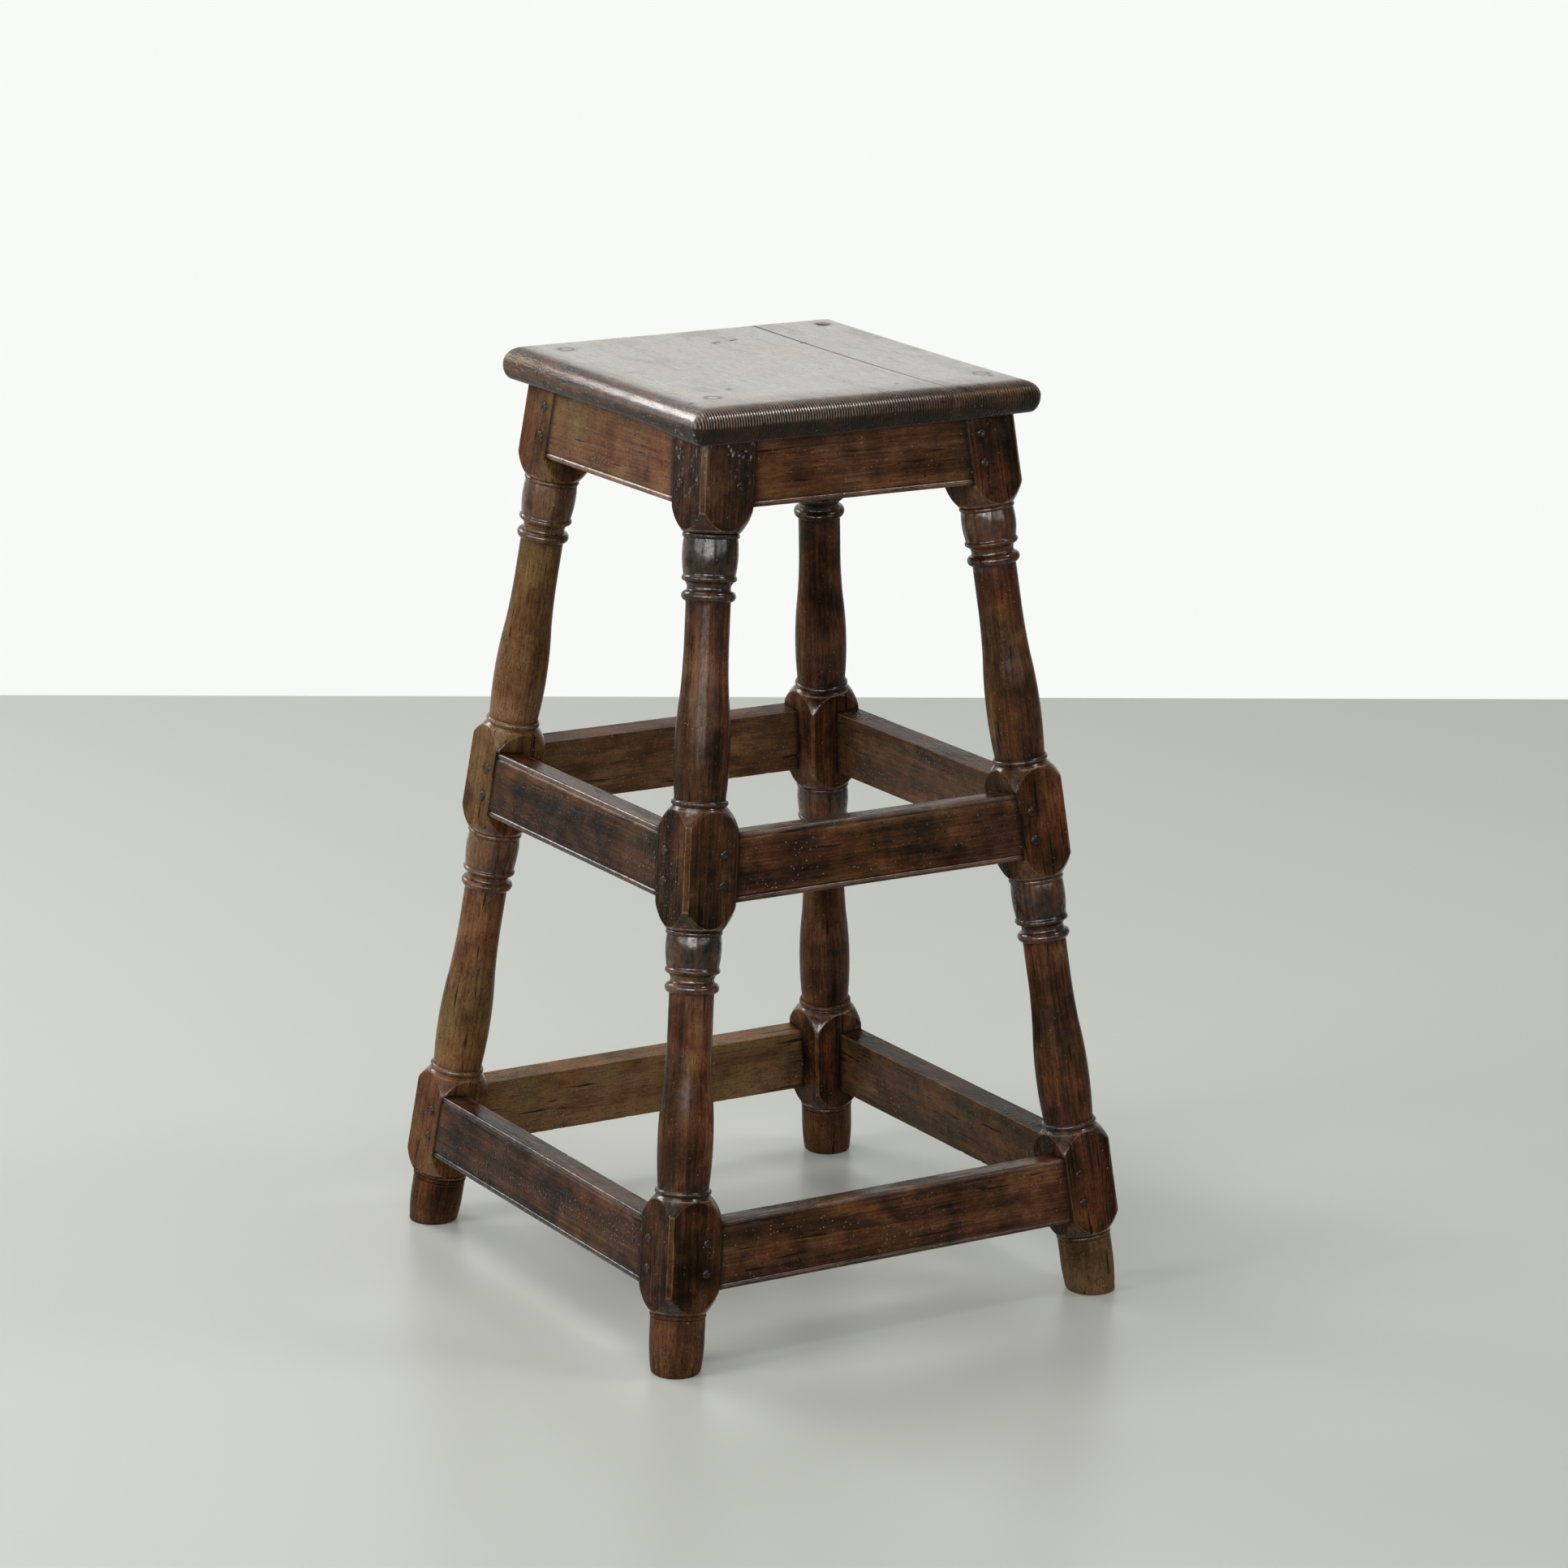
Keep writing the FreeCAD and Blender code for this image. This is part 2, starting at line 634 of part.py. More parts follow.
for corner in CORNERS:
    stick = add_leg_stick(corner)
    levelled = join("Part::Common", "levelled_" + corner, stick, level_room)
    rooms = gather("mortises_" + corner, mortises[corner])
    mortised = join("Part::Cut", "mortised_" + corner, levelled, rooms)
    bores = gather("leg_bores_" + corner, bores_of_leg[corner] + [seat_bores[corner]])
    pieces["leg_" + corner] = join("Part::Cut", "bored_" + corner, mortised, bores)

edges = [
    add_edge_mould("edge_wide", "XZ_Plane", "wide"),
    add_edge_mould("edge_deep", "YZ_Plane", "deep"),
]
for name, sign in (("seat_board_wide", "-"), ("seat_board_narrow", "+")):
    moulded = doc.addObject("Part::MultiCommon", name + "_moulded")
    moulded.Shapes = [add_board_plan(name, sign)] + edges
    bores = gather(name + "_bores", [seat_bores[corner] for corner in CORNERS
                                     if OUTWARD[corner][0] == int(sign + "1")])
    pieces[name] = join("Part::Cut", name + "_bored", moulded, bores)

for (corner, level), pegs in pegs_of_joint.items():
    pieces["pegs_%s_%s" % (corner, level)] = gather("peg_group_%s_%s" % (corner, level), pegs)
pieces["seat_pegs"] = gather("peg_group_seat", seat_pegs)

for name, piece in pieces.items():
    piece.Label = name

doc.recompute()

for item in doc.Objects:
    if "Invalid" in item.State or "Error" in item.State:
        raise RuntimeError("%s is %s" % (item.Name, item.State))
for name, piece in pieces.items():
    if piece.Shape.isNull() or not piece.Shape.isValid():
        raise RuntimeError(name + " has no valid shape")

os.makedirs("parts", exist_ok=True)
for name, piece in pieces.items():
    piece.Shape.exportStep("parts/%s.step" % name)
    print("%-28s solids %d  volume %.0f" % (name, len(piece.Shape.Solids), piece.Shape.Volume))
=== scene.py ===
# %% [markdown]
# # A joint stool in dark oak
# The stool is joinery: four turned legs that lean outwards, three tiers of rails tenoned into their
# square blocks, a seat of two boards, and pegs driven through every joint. It could be carved out of one
# mesh, but then no joint would be a real one, so each piece is made here the way it was worked: turned,
# planed, moulded, then worn by hands and feet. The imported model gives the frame. Sizes are in metres in
# that frame, but for the turner's, which are in millimetres.

# %% Frame and tools
import json
import math

import bmesh
import bpy
import numpy as np
from mathutils import Matrix, Vector

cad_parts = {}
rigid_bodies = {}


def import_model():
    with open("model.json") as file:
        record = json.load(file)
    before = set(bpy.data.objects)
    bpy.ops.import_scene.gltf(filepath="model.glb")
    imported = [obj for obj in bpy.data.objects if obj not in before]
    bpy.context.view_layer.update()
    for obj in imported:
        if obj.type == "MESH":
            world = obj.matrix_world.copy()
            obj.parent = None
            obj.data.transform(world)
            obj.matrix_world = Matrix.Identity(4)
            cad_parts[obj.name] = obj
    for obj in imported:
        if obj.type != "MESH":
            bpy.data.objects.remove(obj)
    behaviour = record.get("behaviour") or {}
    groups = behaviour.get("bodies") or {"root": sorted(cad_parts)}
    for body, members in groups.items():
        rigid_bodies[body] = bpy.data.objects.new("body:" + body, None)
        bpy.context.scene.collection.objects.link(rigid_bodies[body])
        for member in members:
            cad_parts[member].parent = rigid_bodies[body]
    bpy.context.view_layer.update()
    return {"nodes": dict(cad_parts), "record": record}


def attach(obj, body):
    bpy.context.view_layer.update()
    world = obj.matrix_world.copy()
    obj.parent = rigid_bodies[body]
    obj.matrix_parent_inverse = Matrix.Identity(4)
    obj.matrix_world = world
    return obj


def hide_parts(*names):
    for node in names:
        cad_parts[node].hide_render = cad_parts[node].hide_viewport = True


MM = 0.001
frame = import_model()
print("frame:", len(frame["nodes"]), "nodes")

# %% [markdown]
# ## Sizes
# A stool's frame is set out from a few lengths. They could be typed in again here, but then the two
# models could drift apart, so the heights and the spread of the feet come from the frame's mounts. The
# rest are the joiner's own sizes. A leg moves outwards along X and along Y as it goes down, so each
# direction has its slope.

# %% Sizes of the frame
mounts = {mount["name"]: Vector(mount["pos_m"]) for mount in frame["record"]["mounts"]}
FOOT = mounts["sole_back_right"]
BOARD_THICKNESS = 24 * MM
frame_height = mounts["seat_top"].z - BOARD_THICKNESS
TOP_SPREAD = 240 * MM
STOCK = 48 * MM
half_stock = STOCK / 2
ARRIS_WEAR = 1.6 * MM

half_foot = {"wide": FOOT.x, "deep": FOOT.y}
slope = {way: (half - TOP_SPREAD / 2) / frame_height for way, half in half_foot.items()}
lean = math.atan(math.hypot(slope["wide"], slope["deep"]))
leg_length = frame_height / math.cos(lean)

SIDES = ["front", "right", "back", "left"]
CORNERS = ["front_right", "back_right", "back_left", "front_left"]
OUTWARD = {"front_right": (1, -1), "back_right": (1, 1), "back_left": (-1, 1), "front_left": (-1, -1)}
LEVELS = ["low", "mid", "frieze"]
print("leg length %.1f mm, lean %.2f degrees" % (leg_length / MM, math.degrees(lean)))

# %% [markdown]
# ## Node maths as formulas
# Wood has many small features, and the networks of nodes that draw them are long. They could be written
# with a line for each node and each link, but such lists are hard to read. So a Wire wraps one output,
# and `1 - mask` adds the Math node that it means. Any other node comes from `add`, which sets the node's
# settings first and then its sockets.


# %% Wires
class Wire:
    """One output of a node. Maths on it adds Math nodes to the same tree."""

    def __init__(self, tree, socket):
        self.tree = tree
        self.socket = socket

    def math(self, operation, *others):
        return add(self.tree, "ShaderNodeMath", {"operation": operation}, dict(enumerate((self,) + others)))

    def __add__(self, other):
        return self.math("ADD", other)

    def __sub__(self, other):
        return self.math("SUBTRACT", other)

    def __mul__(self, other):
        return self.math("MULTIPLY", other)

    def __truediv__(self, other):
        return self.math("DIVIDE", other)

    def __rsub__(self, other):
        return self * -1 + other

    __radd__ = __add__
    __rmul__ = __mul__

    def rise(self, low, high):
        """Zero below low, one above high, and a smooth step between."""
        settings = {"interpolation_type": "SMOOTHSTEP"}
        return add(self.tree, "ShaderNodeMapRange", settings, {0: self, 1: low, 2: high})


def add(tree, kind, settings=None, inputs=None, output=0):
    """Any node: its settings first, then the values or links of its sockets."""
    node = tree.nodes.new(kind)
    for name, setting in (settings or {}).items():
        if name != "stops":
            setattr(node, name, setting)
            continue
        ramp = node.color_ramp
        while len(ramp.elements) < len(setting):
            ramp.elements.new(1)
        for element, (place, colour) in zip(ramp.elements, setting):
            element.position = place
            element.color = (*colour, 1)
    for name, value in (inputs or {}).items():
        if isinstance(value, Wire):
            tree.links.new(value.socket, node.inputs[name])
        else:
            node.inputs[name].default_value = value
    return Wire(tree, node.outputs[output])


# %% Patterns from wires
def stretched(vector, factors):
    """A vector with each part multiplied, so that a pattern on it is drawn out."""
    return add(vector.tree, "ShaderNodeVectorMath", {"operation": "MULTIPLY"}, {0: vector, 1: factors})


def pattern(grain, across, along, detail, roughness, low=None, high=None):
    """Noise from about zero to one, which changes so often in a metre across and along the wood. With a
    low and a high it is a mask that rises between them."""
    drawn_out = stretched(grain, (across, across, along))
    waves = add(grain.tree, "ShaderNodeTexNoise", None,
                {"Vector": drawn_out, "Scale": 1, "Detail": detail, "Roughness": roughness})
    return waves if low is None else waves.rise(low, high)


# %% [markdown]
# ## Trees that make shapes
# A stick is sawn, then turned or planed, then worn, and a mesh can go through Geometry Nodes trees in the
# same order. The modifiers could stay on the piece, but the frame takes plain meshes, so the result is
# read back as one and no modifier is left. A tree gets named inputs, and named marks such as "crest"
# travel with the points from one tree to the next.


# %% Parts of a tree
def new_tree(name, *inputs):
    """An empty Geometry Nodes tree with named inputs, and a wire for each of them."""
    tree = bpy.data.node_groups.new(name, "GeometryNodeTree")
    tree.interface.new_socket("Geometry", in_out="OUTPUT", socket_type="NodeSocketGeometry")
    tree.interface.new_socket("Geometry", in_out="INPUT", socket_type="NodeSocketGeometry")
    for label, kind in inputs:
        tree.interface.new_socket(label, in_out="INPUT", socket_type="NodeSocket" + kind)
    entry = tree.nodes.new("NodeGroupInput")
    wires = [Wire(tree, socket) for socket in entry.outputs[:len(inputs) + 1]]
    return tree, wires


def end_tree(tree, geometry, material=None):
    """Ends a tree with plain geometry in its material."""
    geometry = add(tree, "GeometryNodeRealizeInstances", None, {0: geometry})
    if material is not None:
        geometry = add(tree, "GeometryNodeSetMaterial", None, {0: geometry, "Material": material})
    leave = tree.nodes.new("NodeGroupOutput")
    tree.links.new(geometry.socket, leave.inputs[0])
    return tree


def store(geometry, name, value, kind="FLOAT"):
    """Keeps a value at every point of a geometry under a name."""
    settings = {"data_type": kind, "domain": "POINT"}
    return add(geometry.tree, "GeometryNodeStoreNamedAttribute", settings,
               {0: geometry, "Name": name, "Value": value})


def kept(tree, name, kind="FLOAT"):
    """A value that was kept under a name."""
    return add(tree, "GeometryNodeInputNamedAttribute", {"data_type": kind}, {"Name": name})


def at_index(geometry, value, index, kind="FLOAT"):
    """The value that a geometry has at one of its points."""
    settings = {"data_type": kind, "domain": "POINT"}
    return add(geometry.tree, "GeometryNodeSampleIndex", settings, {0: geometry, 1: value, "Index": index})


def moved(geometry, offset=None, place=None):
    """A geometry with its points moved by an offset, or to a place."""
    inputs = {0: geometry}
    if offset is not None:
        inputs["Offset"] = offset
    if place is not None:
        inputs["Position"] = place
    return add(geometry.tree, "GeometryNodeSetPosition", None, inputs)


def shifted(vector, offset):
    """A vector with an offset added."""
    return add(vector.tree, "ShaderNodeVectorMath", {"operation": "ADD"}, {0: vector, 1: offset})


def joined_parts(tree, x, y, z):
    return add(tree, "ShaderNodeCombineXYZ", None, {0: x, 1: y, 2: z})


def split_parts(vector):
    return [add(vector.tree, "ShaderNodeSeparateXYZ", None, {0: vector}, part) for part in range(3)]


# %% Running a mesh through trees
def run_trees(name, mesh, steps):
    """Runs a mesh through trees, each with its named inputs, and returns the plain mesh that comes out."""
    holder = bpy.data.objects.new(name, mesh)
    bpy.context.collection.objects.link(holder)
    for tree, inputs in steps:
        modifier = holder.modifiers.new(tree.name, "NODES")
        modifier.node_group = tree
        for socket in tree.interface.items_tree:
            if socket.in_out == "INPUT" and socket.name in inputs:
                modifier[socket.identifier] = inputs[socket.name]
    bpy.context.view_layer.update()
    graph = bpy.context.evaluated_depsgraph_get()
    result = bpy.data.meshes.new_from_object(
        holder.evaluated_get(graph), preserve_all_data_layers=True, depsgraph=graph)
    bpy.data.objects.remove(holder)
    return result


def new_mesh(name, points, faces=(), **marks):
    """A mesh with named values at its points."""
    mesh = bpy.data.meshes.new(name)
    mesh.from_pydata([tuple(point) for point in points], [], [tuple(face) for face in faces])
    for mark, values in marks.items():
        write_mark(mesh, mark, values)
    return mesh


# %% Points and marks of a mesh
def write_mark(mesh, mark, values):
    values = np.asarray(values, dtype=np.float32)
    kind, field = ("FLOAT", "value") if values.ndim == 1 else ("FLOAT_VECTOR", "vector")
    layer = mesh.attributes.get(mark) or mesh.attributes.new(mark, kind, "POINT")
    layer.data.foreach_set(field, values.ravel())


def read_mark(mesh, mark, width=1):
    values = np.zeros(len(mesh.vertices) * width, dtype=np.float32)
    mesh.attributes[mark].data.foreach_get("value" if width == 1 else "vector", values)
    return values if width == 1 else values.reshape(-1, width)


def read_points(mesh):
    points = np.zeros(len(mesh.vertices) * 3, dtype=np.float32)
    mesh.vertices.foreach_get("co", points)
    return points.reshape(-1, 3).astype(float)


def write_points(mesh, points):
    mesh.vertices.foreach_set("co", points.astype(np.float32).ravel())
    mesh.update()


# %% [markdown]
# ## The lathe
# A turned leg follows a rule: one outline, spun about the centre line of a square stick. The outline could be
# spun by a Screw modifier and cut square by a Boolean, but that leaves long thin faces where the two meet.
# Here the tree lays a grid of rows and columns, reads each row's radius from the outline, and keeps whichever
# is smaller, the turned radius or the square stick with its worn corners. The rounded ends of the blocks then
# appear by themselves, as they do on a lathe. Columns are bunched towards the corners. The tree also marks
# what is rubbed, as "crest", adding thin painted highlight lines along the rims of the rounded ends and the
# edges of the worn corners, and what is turned or cut, as "polish".

# %% Rows and columns
WELD = 0.01 * MM
ROUNDING_GUARD = 0.00025


def grid_places(tree, columns):
    """The row and the column of each point of a grid whose last column closes on its first."""
    index = add(tree, "GeometryNodeInputIndex")
    row = (index / (columns + 1) + ROUNDING_GUARD).math("FLOOR")
    return row, index - row * (columns + 1)


def point_count(geometry):
    return add(geometry.tree, "GeometryNodeAttributeDomainSize", {"component": "MESH"}, {0: geometry})


def welded(geometry):
    return add(geometry.tree, "GeometryNodeMergeByDistance", None, {0: geometry, "Distance": WELD})


# %% The lathe tree
STICK_CORNERS = 4
COLUMN_BUNCHING_SHARE = 0.55
OUTER_CORNER_SHARES = (0.72, 0.97)
RIDGE_WIDTH = 0.95 * MM
RIM_HIGHLIGHT_SHARE = 0.86
ARRIS_CREST_SHARE = 0.52
ARRIS_SOFTNESS = 2
POLISH_DEPTH = 0.8 * MM


def build_lathe():
    tree, (outline, columns, flat_half, arris, outer_wear, outer_turn, softness, offset) = new_tree(
        "turned stick", ("Columns", "Int"), ("Half Stock", "Float"), ("Arris", "Float"),
        ("Outer Wear", "Float"), ("Outer Turn", "Float"), ("Softness", "Float"), ("Grain Offset", "Vector"))
    inputs = {"Vertices X": point_count(outline), "Vertices Y": columns + 1}
    grid = add(tree, "GeometryNodeMeshGrid", None, inputs)
    row, column = grid_places(tree, columns)
    place = at_index(outline, add(tree, "GeometryNodeInputPosition"), row, "FLOAT_VECTOR")
    turned, _, height = split_parts(place)

    even = column / columns * -2 * math.pi
    angle = even + (even * STICK_CORNERS).math("SINE") * (COLUMN_BUNCHING_SHARE / STICK_CORNERS)
    across = angle.math("COSINE")
    along = angle.math("SINE")
    wide = across.math("ABSOLUTE")
    deep = along.math("ABSOLUTE")
    flat = flat_half / wide.math("MAXIMUM", deep)
    outer = (angle - outer_turn).math("COSINE").rise(*OUTER_CORNER_SHARES)
    corner = (flat_half * 2 - arris - outer * outer_wear) / (wide + deep)
    stick = flat.math("SMOOTH_MIN", corner, softness * ARRIS_SOFTNESS)
    radius = stick.math("SMOOTH_MIN", turned, softness)

    def away(distance, reach=RIDGE_WIDTH):
        """Zero at a line and one beyond its reach."""
        return (distance / reach).math("MINIMUM", 1)

    lathed = moved(grid, place=joined_parts(tree, across * radius, along * radius, height))
    # Thin lines along the rims of the rounded ends and along the edges of the worn corners are painted
    # highlights, kept with what is rubbed.
    rim_highlight = (1 - away((turned - stick).math("ABSOLUTE"))) * RIM_HIGHLIGHT_SHARE
    line = (1 - away((corner - flat).math("ABSOLUTE"))) * (1 - away(stick - radius))
    edge = (1 - away(corner - radius, RIDGE_WIDTH * 2)) * ARRIS_CREST_SHARE
    crest = at_index(outline, kept(tree, "crest"), row)
    lathed = store(lathed, "crest", crest.math("MAXIMUM", rim_highlight).math("MAXIMUM", edge).math("MAXIMUM", line))
    lathed = store(lathed, "hollow", at_index(outline, kept(tree, "hollow"), row))
    lathed = store(lathed, "polish", away(stick - radius, POLISH_DEPTH))
    grain = shifted(add(tree, "GeometryNodeInputPosition"), offset)
    return end_tree(tree, welded(store(lathed, "grain", grain, "FLOAT_VECTOR")))


lathe = build_lathe()
print("lathe:", len(lathe.nodes), "nodes")

# %% [markdown]
# ## The moulding plane
# A rail is one section pushed along a straight line, and its shoulders slant because the legs lean. A
# curve with a profile would make the run but not the slanting ends. So the tree carries the section from
# end to end itself, and a point's distance from the middle depends on its height, so that both ends
# follow the legs.


# %% The rail tree
def build_rail_tree():
    tree, (section, stations, half_length, spread, offset) = new_tree(
        "moulded rail", ("Stations", "Int"), ("Half Length", "Float"), ("Spread", "Float"),
        ("Grain Offset", "Vector"))
    spots = point_count(section)
    grid = add(tree, "GeometryNodeMeshGrid", None, {"Vertices X": stations, "Vertices Y": spots + 1})
    station, column = grid_places(tree, spots)
    spot = column.math("MODULO", spots)
    place = at_index(section, add(tree, "GeometryNodeInputPosition"), spot, "FLOAT_VECTOR")
    _, inward, height = split_parts(place)
    share = station / (stations - 1) * 2 - 1
    along = share * (half_length - height * spread)

    rail = moved(grid, place=joined_parts(tree, along, inward, height))
    for mark in ("crest", "hollow", "polish"):
        rail = store(rail, mark, at_index(section, kept(tree, mark), spot))
    grain = shifted(joined_parts(tree, inward, height, along), offset)
    return end_tree(tree, welded(store(rail, "grain", grain, "FLOAT_VECTOR")))


rail_tree = build_rail_tree()
print("moulding plane:", len(rail_tree.nodes), "nodes")

# %% [markdown]
# ## Handwork and wear
# Nothing on an old stool is quite straight. Bumps in the material alone would leave every outline ruled,
# so each piece goes through one more tree, which moves its surface in and out: long undulations that
# follow the grain, small flats left by the tool, and chips knocked out of the exposed edges. The chips
# are kept under a name, because bare wood shows there.

# %% The handwork tree
# For each unevenness, how often it changes in a metre across and along the wood, its detail and its
# roughness, and for the chips the values between which one begins and is full.
LONG_WAVES = (24, 5.28, 1, 0.5)
TOOL_FLATS = (130, 28.6, 1, 0.5)
KNOCKS = (170, 76.5, 2, 0.6, 0.6, 0.74)
EXPOSED_SHARES = (0.25, 0.9)
HANDWORK = {
    "leg": {"Waves": 0.35 * MM, "Flats": 0.07 * MM, "Chips": 0.5 * MM},
    "rail": {"Waves": 0.3 * MM, "Flats": 0.1 * MM, "Chips": 1.0 * MM},
    "seat": {"Waves": 0.3 * MM, "Flats": 0.04 * MM, "Chips": 0.9 * MM},
    "peg": {"Waves": 0.2 * MM, "Flats": 0.12 * MM, "Chips": 0},
}
# Where the grain of the first piece of a kind begins in the pattern of the wood, and how much further on
# it begins in each next one, in metres.
GRAINS = {
    "leg": ((0, 0.3, 0), (1.7, 0, 2.3)),
    "rail": ((0, 0, 0), (1.3, 0.7, 3.1)),
    "seat": ((0, 0.4, 0), (2.1, 0, 1.9)),
    "peg": ((9.7, 4.1, 0), (0, 0, 0)),
}


def build_handwork():
    tree, (shape, waves, flats, chips, material) = new_tree(
        "handwork", ("Waves", "Float"), ("Flats", "Float"), ("Chips", "Float"), ("Material", "Material"))
    grain = kept(tree, "grain", "FLOAT_VECTOR")
    wave = pattern(grain, *LONG_WAVES) * 2 - 1
    flat = pattern(grain, *TOOL_FLATS) * 2 - 1
    knocked = pattern(grain, *KNOCKS) * kept(tree, "crest").rise(*EXPOSED_SHARES)
    depth = wave * waves + flat * flats - knocked * chips
    normal = add(tree, "GeometryNodeInputNormal")
    offset = add(tree, "ShaderNodeVectorMath", {"operation": "SCALE"}, {0: normal, "Scale": depth})
    worked = store(moved(shape, offset=offset), "chip", knocked)
    return end_tree(tree, worked, material)


def worked_by_hand(kind, material):
    """The handwork step for one kind of piece."""
    return handwork, {**HANDWORK[kind], "Material": material}


def grain_start(kind, number=0):
    """Where the grain of one piece begins, so that no two pieces look alike."""
    return tuple(float(start + number * step) for start, step in zip(*GRAINS[kind]))


handwork = build_handwork()
print("handwork:", len(handwork.nodes), "nodes")

# %% [markdown]
# ## The oak
# Old oak under centuries of wax is nearly black in the hollows, red-brown on the flats and golden brown
# where hands and shoes have rubbed it. A photograph of wood could be laid over the stool, but it would
# stretch round the turned parts and know nothing of the joints. So the pattern is worked out in the
# stick's own coordinates, kept on every piece as "grain", whose third part runs along the wood.
#
# Marks on the pieces say where things happen: "crest" where it is rubbed, and on the blocks also where
# highlight lines are painted, "hollow" where dust settles, "soil" where dirt gathers at a joint and where
# shade is painted, "chip" where a piece is knocked out, "bare" where the wax has gone, which on the top of
# the seat is also a painted sheen, "hewn" where the tool's marks were left, "end" where end grain shows, and
# "polish" where wax shines. "shade" makes a whole stretch lighter or darker, partly as the stick's own tone,
# since no two sticks are alike, and partly as painted light and shade.

# %% Colours of the oak
BLACK_WAX = (0.0075, 0.0052, 0.0038)
DEEP_OAK = (0.028, 0.0138, 0.0082)
RED_OAK = (0.076, 0.0305, 0.0155)
WARM_OAK = (0.142, 0.063, 0.029)
GOLD_OAK = (0.225, 0.122, 0.056)
# Rubbed edges, and the painted highlight lines along the ridges of the blocks.
RUBBED_AND_HIGHLIGHT_OAK = (0.33, 0.18, 0.085)
RUDDY = (1.08, 0.9, 0.8)
OLIVE = (0.85, 1.0, 0.86)
# Pale dots, partly wax bloom and partly painted glints.
BLOOM_AND_GLINT = (0.36, 0.32, 0.27)
BARE_OAK = (0.34, 0.235, 0.135)
DUSTY_OAK = (0.15, 0.094, 0.048)
# The pale top of the seat: partly worn wood, partly a painted sheen.
WORN_AND_SHEEN_OAK = (0.2, 0.155, 0.105)
WAX_TINT = (1, 0.92, 0.84)
CLEAR_TINT = (0.92, 1, 0.96)
TONE_STOPS = [(0.22, BLACK_WAX), (0.36, DEEP_OAK), (0.5, RED_OAK), (0.64, WARM_OAK), (0.84, GOLD_OAK)]


def mixed(factor, first, second):
    """Two colours mixed by a factor."""
    return blended("MIX", factor, first, second)


def blended(way, factor, first, second):
    """Two colours put together in one of the Mix node's ways."""
    settings = {"data_type": "RGBA", "blend_type": way}
    return add(factor.tree, "ShaderNodeMix", settings, {0: factor, 6: opaque(first), 7: opaque(second)}, 2)


def opaque(colour):
    return colour if isinstance(colour, Wire) else (*colour, 1)


print("tones of the oak:", len(TONE_STOPS))

# %% Patterns of the oak
# How often each pattern changes in a metre across and along the wood, its detail and its roughness, and
# for a mask the values between which it rises.
PATTERNS = {
    "bands": (55, 3.5, 3, 0.55),
    "streaks": (420, 14, 3, 0.6),
    "blotches": (26, 26, 4, 0.65),
    "stains": (75, 75, 3, 0.6),
    "ruddy": (14, 14, 2, 0.5, 0.42, 0.62),
    "olive": (21, 10.5, 3, 0.5, 0.45, 0.6),
    "rubbing": (45, 45, 3, 0.5, 0.4, 0.6),
    "pores": (1900, 90, 1, 0.5, 0.56, 0.68),
    "checks": (230, 16, 2, 0.5, 0.64, 0.7),
    "speckles": (480, 480, 2, 0.6, 0.52, 0.7),
    "rough": (34, 13.6, 2, 0.5, 0.52, 0.66),
    "flecks": (430, 210, 2, 0.5, 0.58, 0.7),
    "fine": (240, 240, 3, 0.65, 0.36, 0.6),
    "dashes": (700, 60, 2, 0.5, 0.52, 0.66),
    "grit": (330, 330, 2, 0.5),
    "cuts": (330, 60, 2, 0.5),
}
# How many dots lie along a metre, the radius of the largest, and the luck that a dot needs to show.
DOTS = {
    "holes": (70, 0.9 * MM, 0.72),
    "specks": (210, 0.45 * MM, 0.7),
    "crumbs": (300, 0.55 * MM, 0.35),
    "blisters": (190, 0.8 * MM, 0.45),
}
DOT_RIM = 0.25 * MM
MARKS = ["crest", "hollow", "soil", "chip", "bare", "shade", "polish", "hewn"]
# The values between which a mark or a stain begins and is full.
GRIME_RISE = (0.45, 0.6)
CHIP_RISE = (0.45, 0.6)
FLECK_RISE = (0.42, 0.58)
BARE_RISE = (0.35, 0.6)
RUBBED_AND_HIGHLIGHT_RISE = (0.38, 0.92)
LEAST_CRUMBS_SHARE = 0.25


def dots(grain, scale, radius, rarity):
    """Round dots scattered through the wood: one where a dot is, and zero elsewhere."""
    inputs = {"Vector": grain, "Scale": scale}
    cells = add(grain.tree, "ShaderNodeTexVoronoi", None, inputs)
    luck = add(grain.tree, "ShaderNodeTexVoronoi", None, inputs, "Color")
    size = split_parts(luck)[0].rise(rarity, 1) * radius * scale
    return ((size - cells) / (DOT_RIM * scale) + 0.5).math("MINIMUM", 1).math("MAXIMUM", 0)


def patchy(mask, least):
    """A mask that never falls below its least value."""
    return mask * (1 - least) + least


def mark(tree, label, output=2):
    """A value kept on the piece, or a vector where the output is the second one."""
    return add(tree, "ShaderNodeAttribute", {"attribute_name": label}, None, output)


def read_wood(tree):
    """All marks, patterns and dots of the oak by name."""
    grain = mark(tree, "grain", 1)
    wood = {label: mark(tree, label) for label in MARKS}
    wood.update((label, pattern(grain, *row)) for label, row in PATTERNS.items())
    wood.update((label, dots(grain, *row)) for label, row in DOTS.items())
    wood["grime"] = wood["rough"] * wood["blotches"].rise(*GRIME_RISE)
    wood["chipped"] = wood["chip"] * wood["stains"].rise(*CHIP_RISE)
    # Crumbs and flecks are pale dots, partly wax bloom and partly painted glints.
    wood["crumbs"] = wood["crumbs"] * patchy(wood["rough"], LEAST_CRUMBS_SHARE)
    wood["flecks"] = wood["flecks"] * wood["stains"].rise(*FLECK_RISE) * wood["hewn"]
    return grain, wood


print("patterns of the oak:", len(PATTERNS) + len(DOTS))

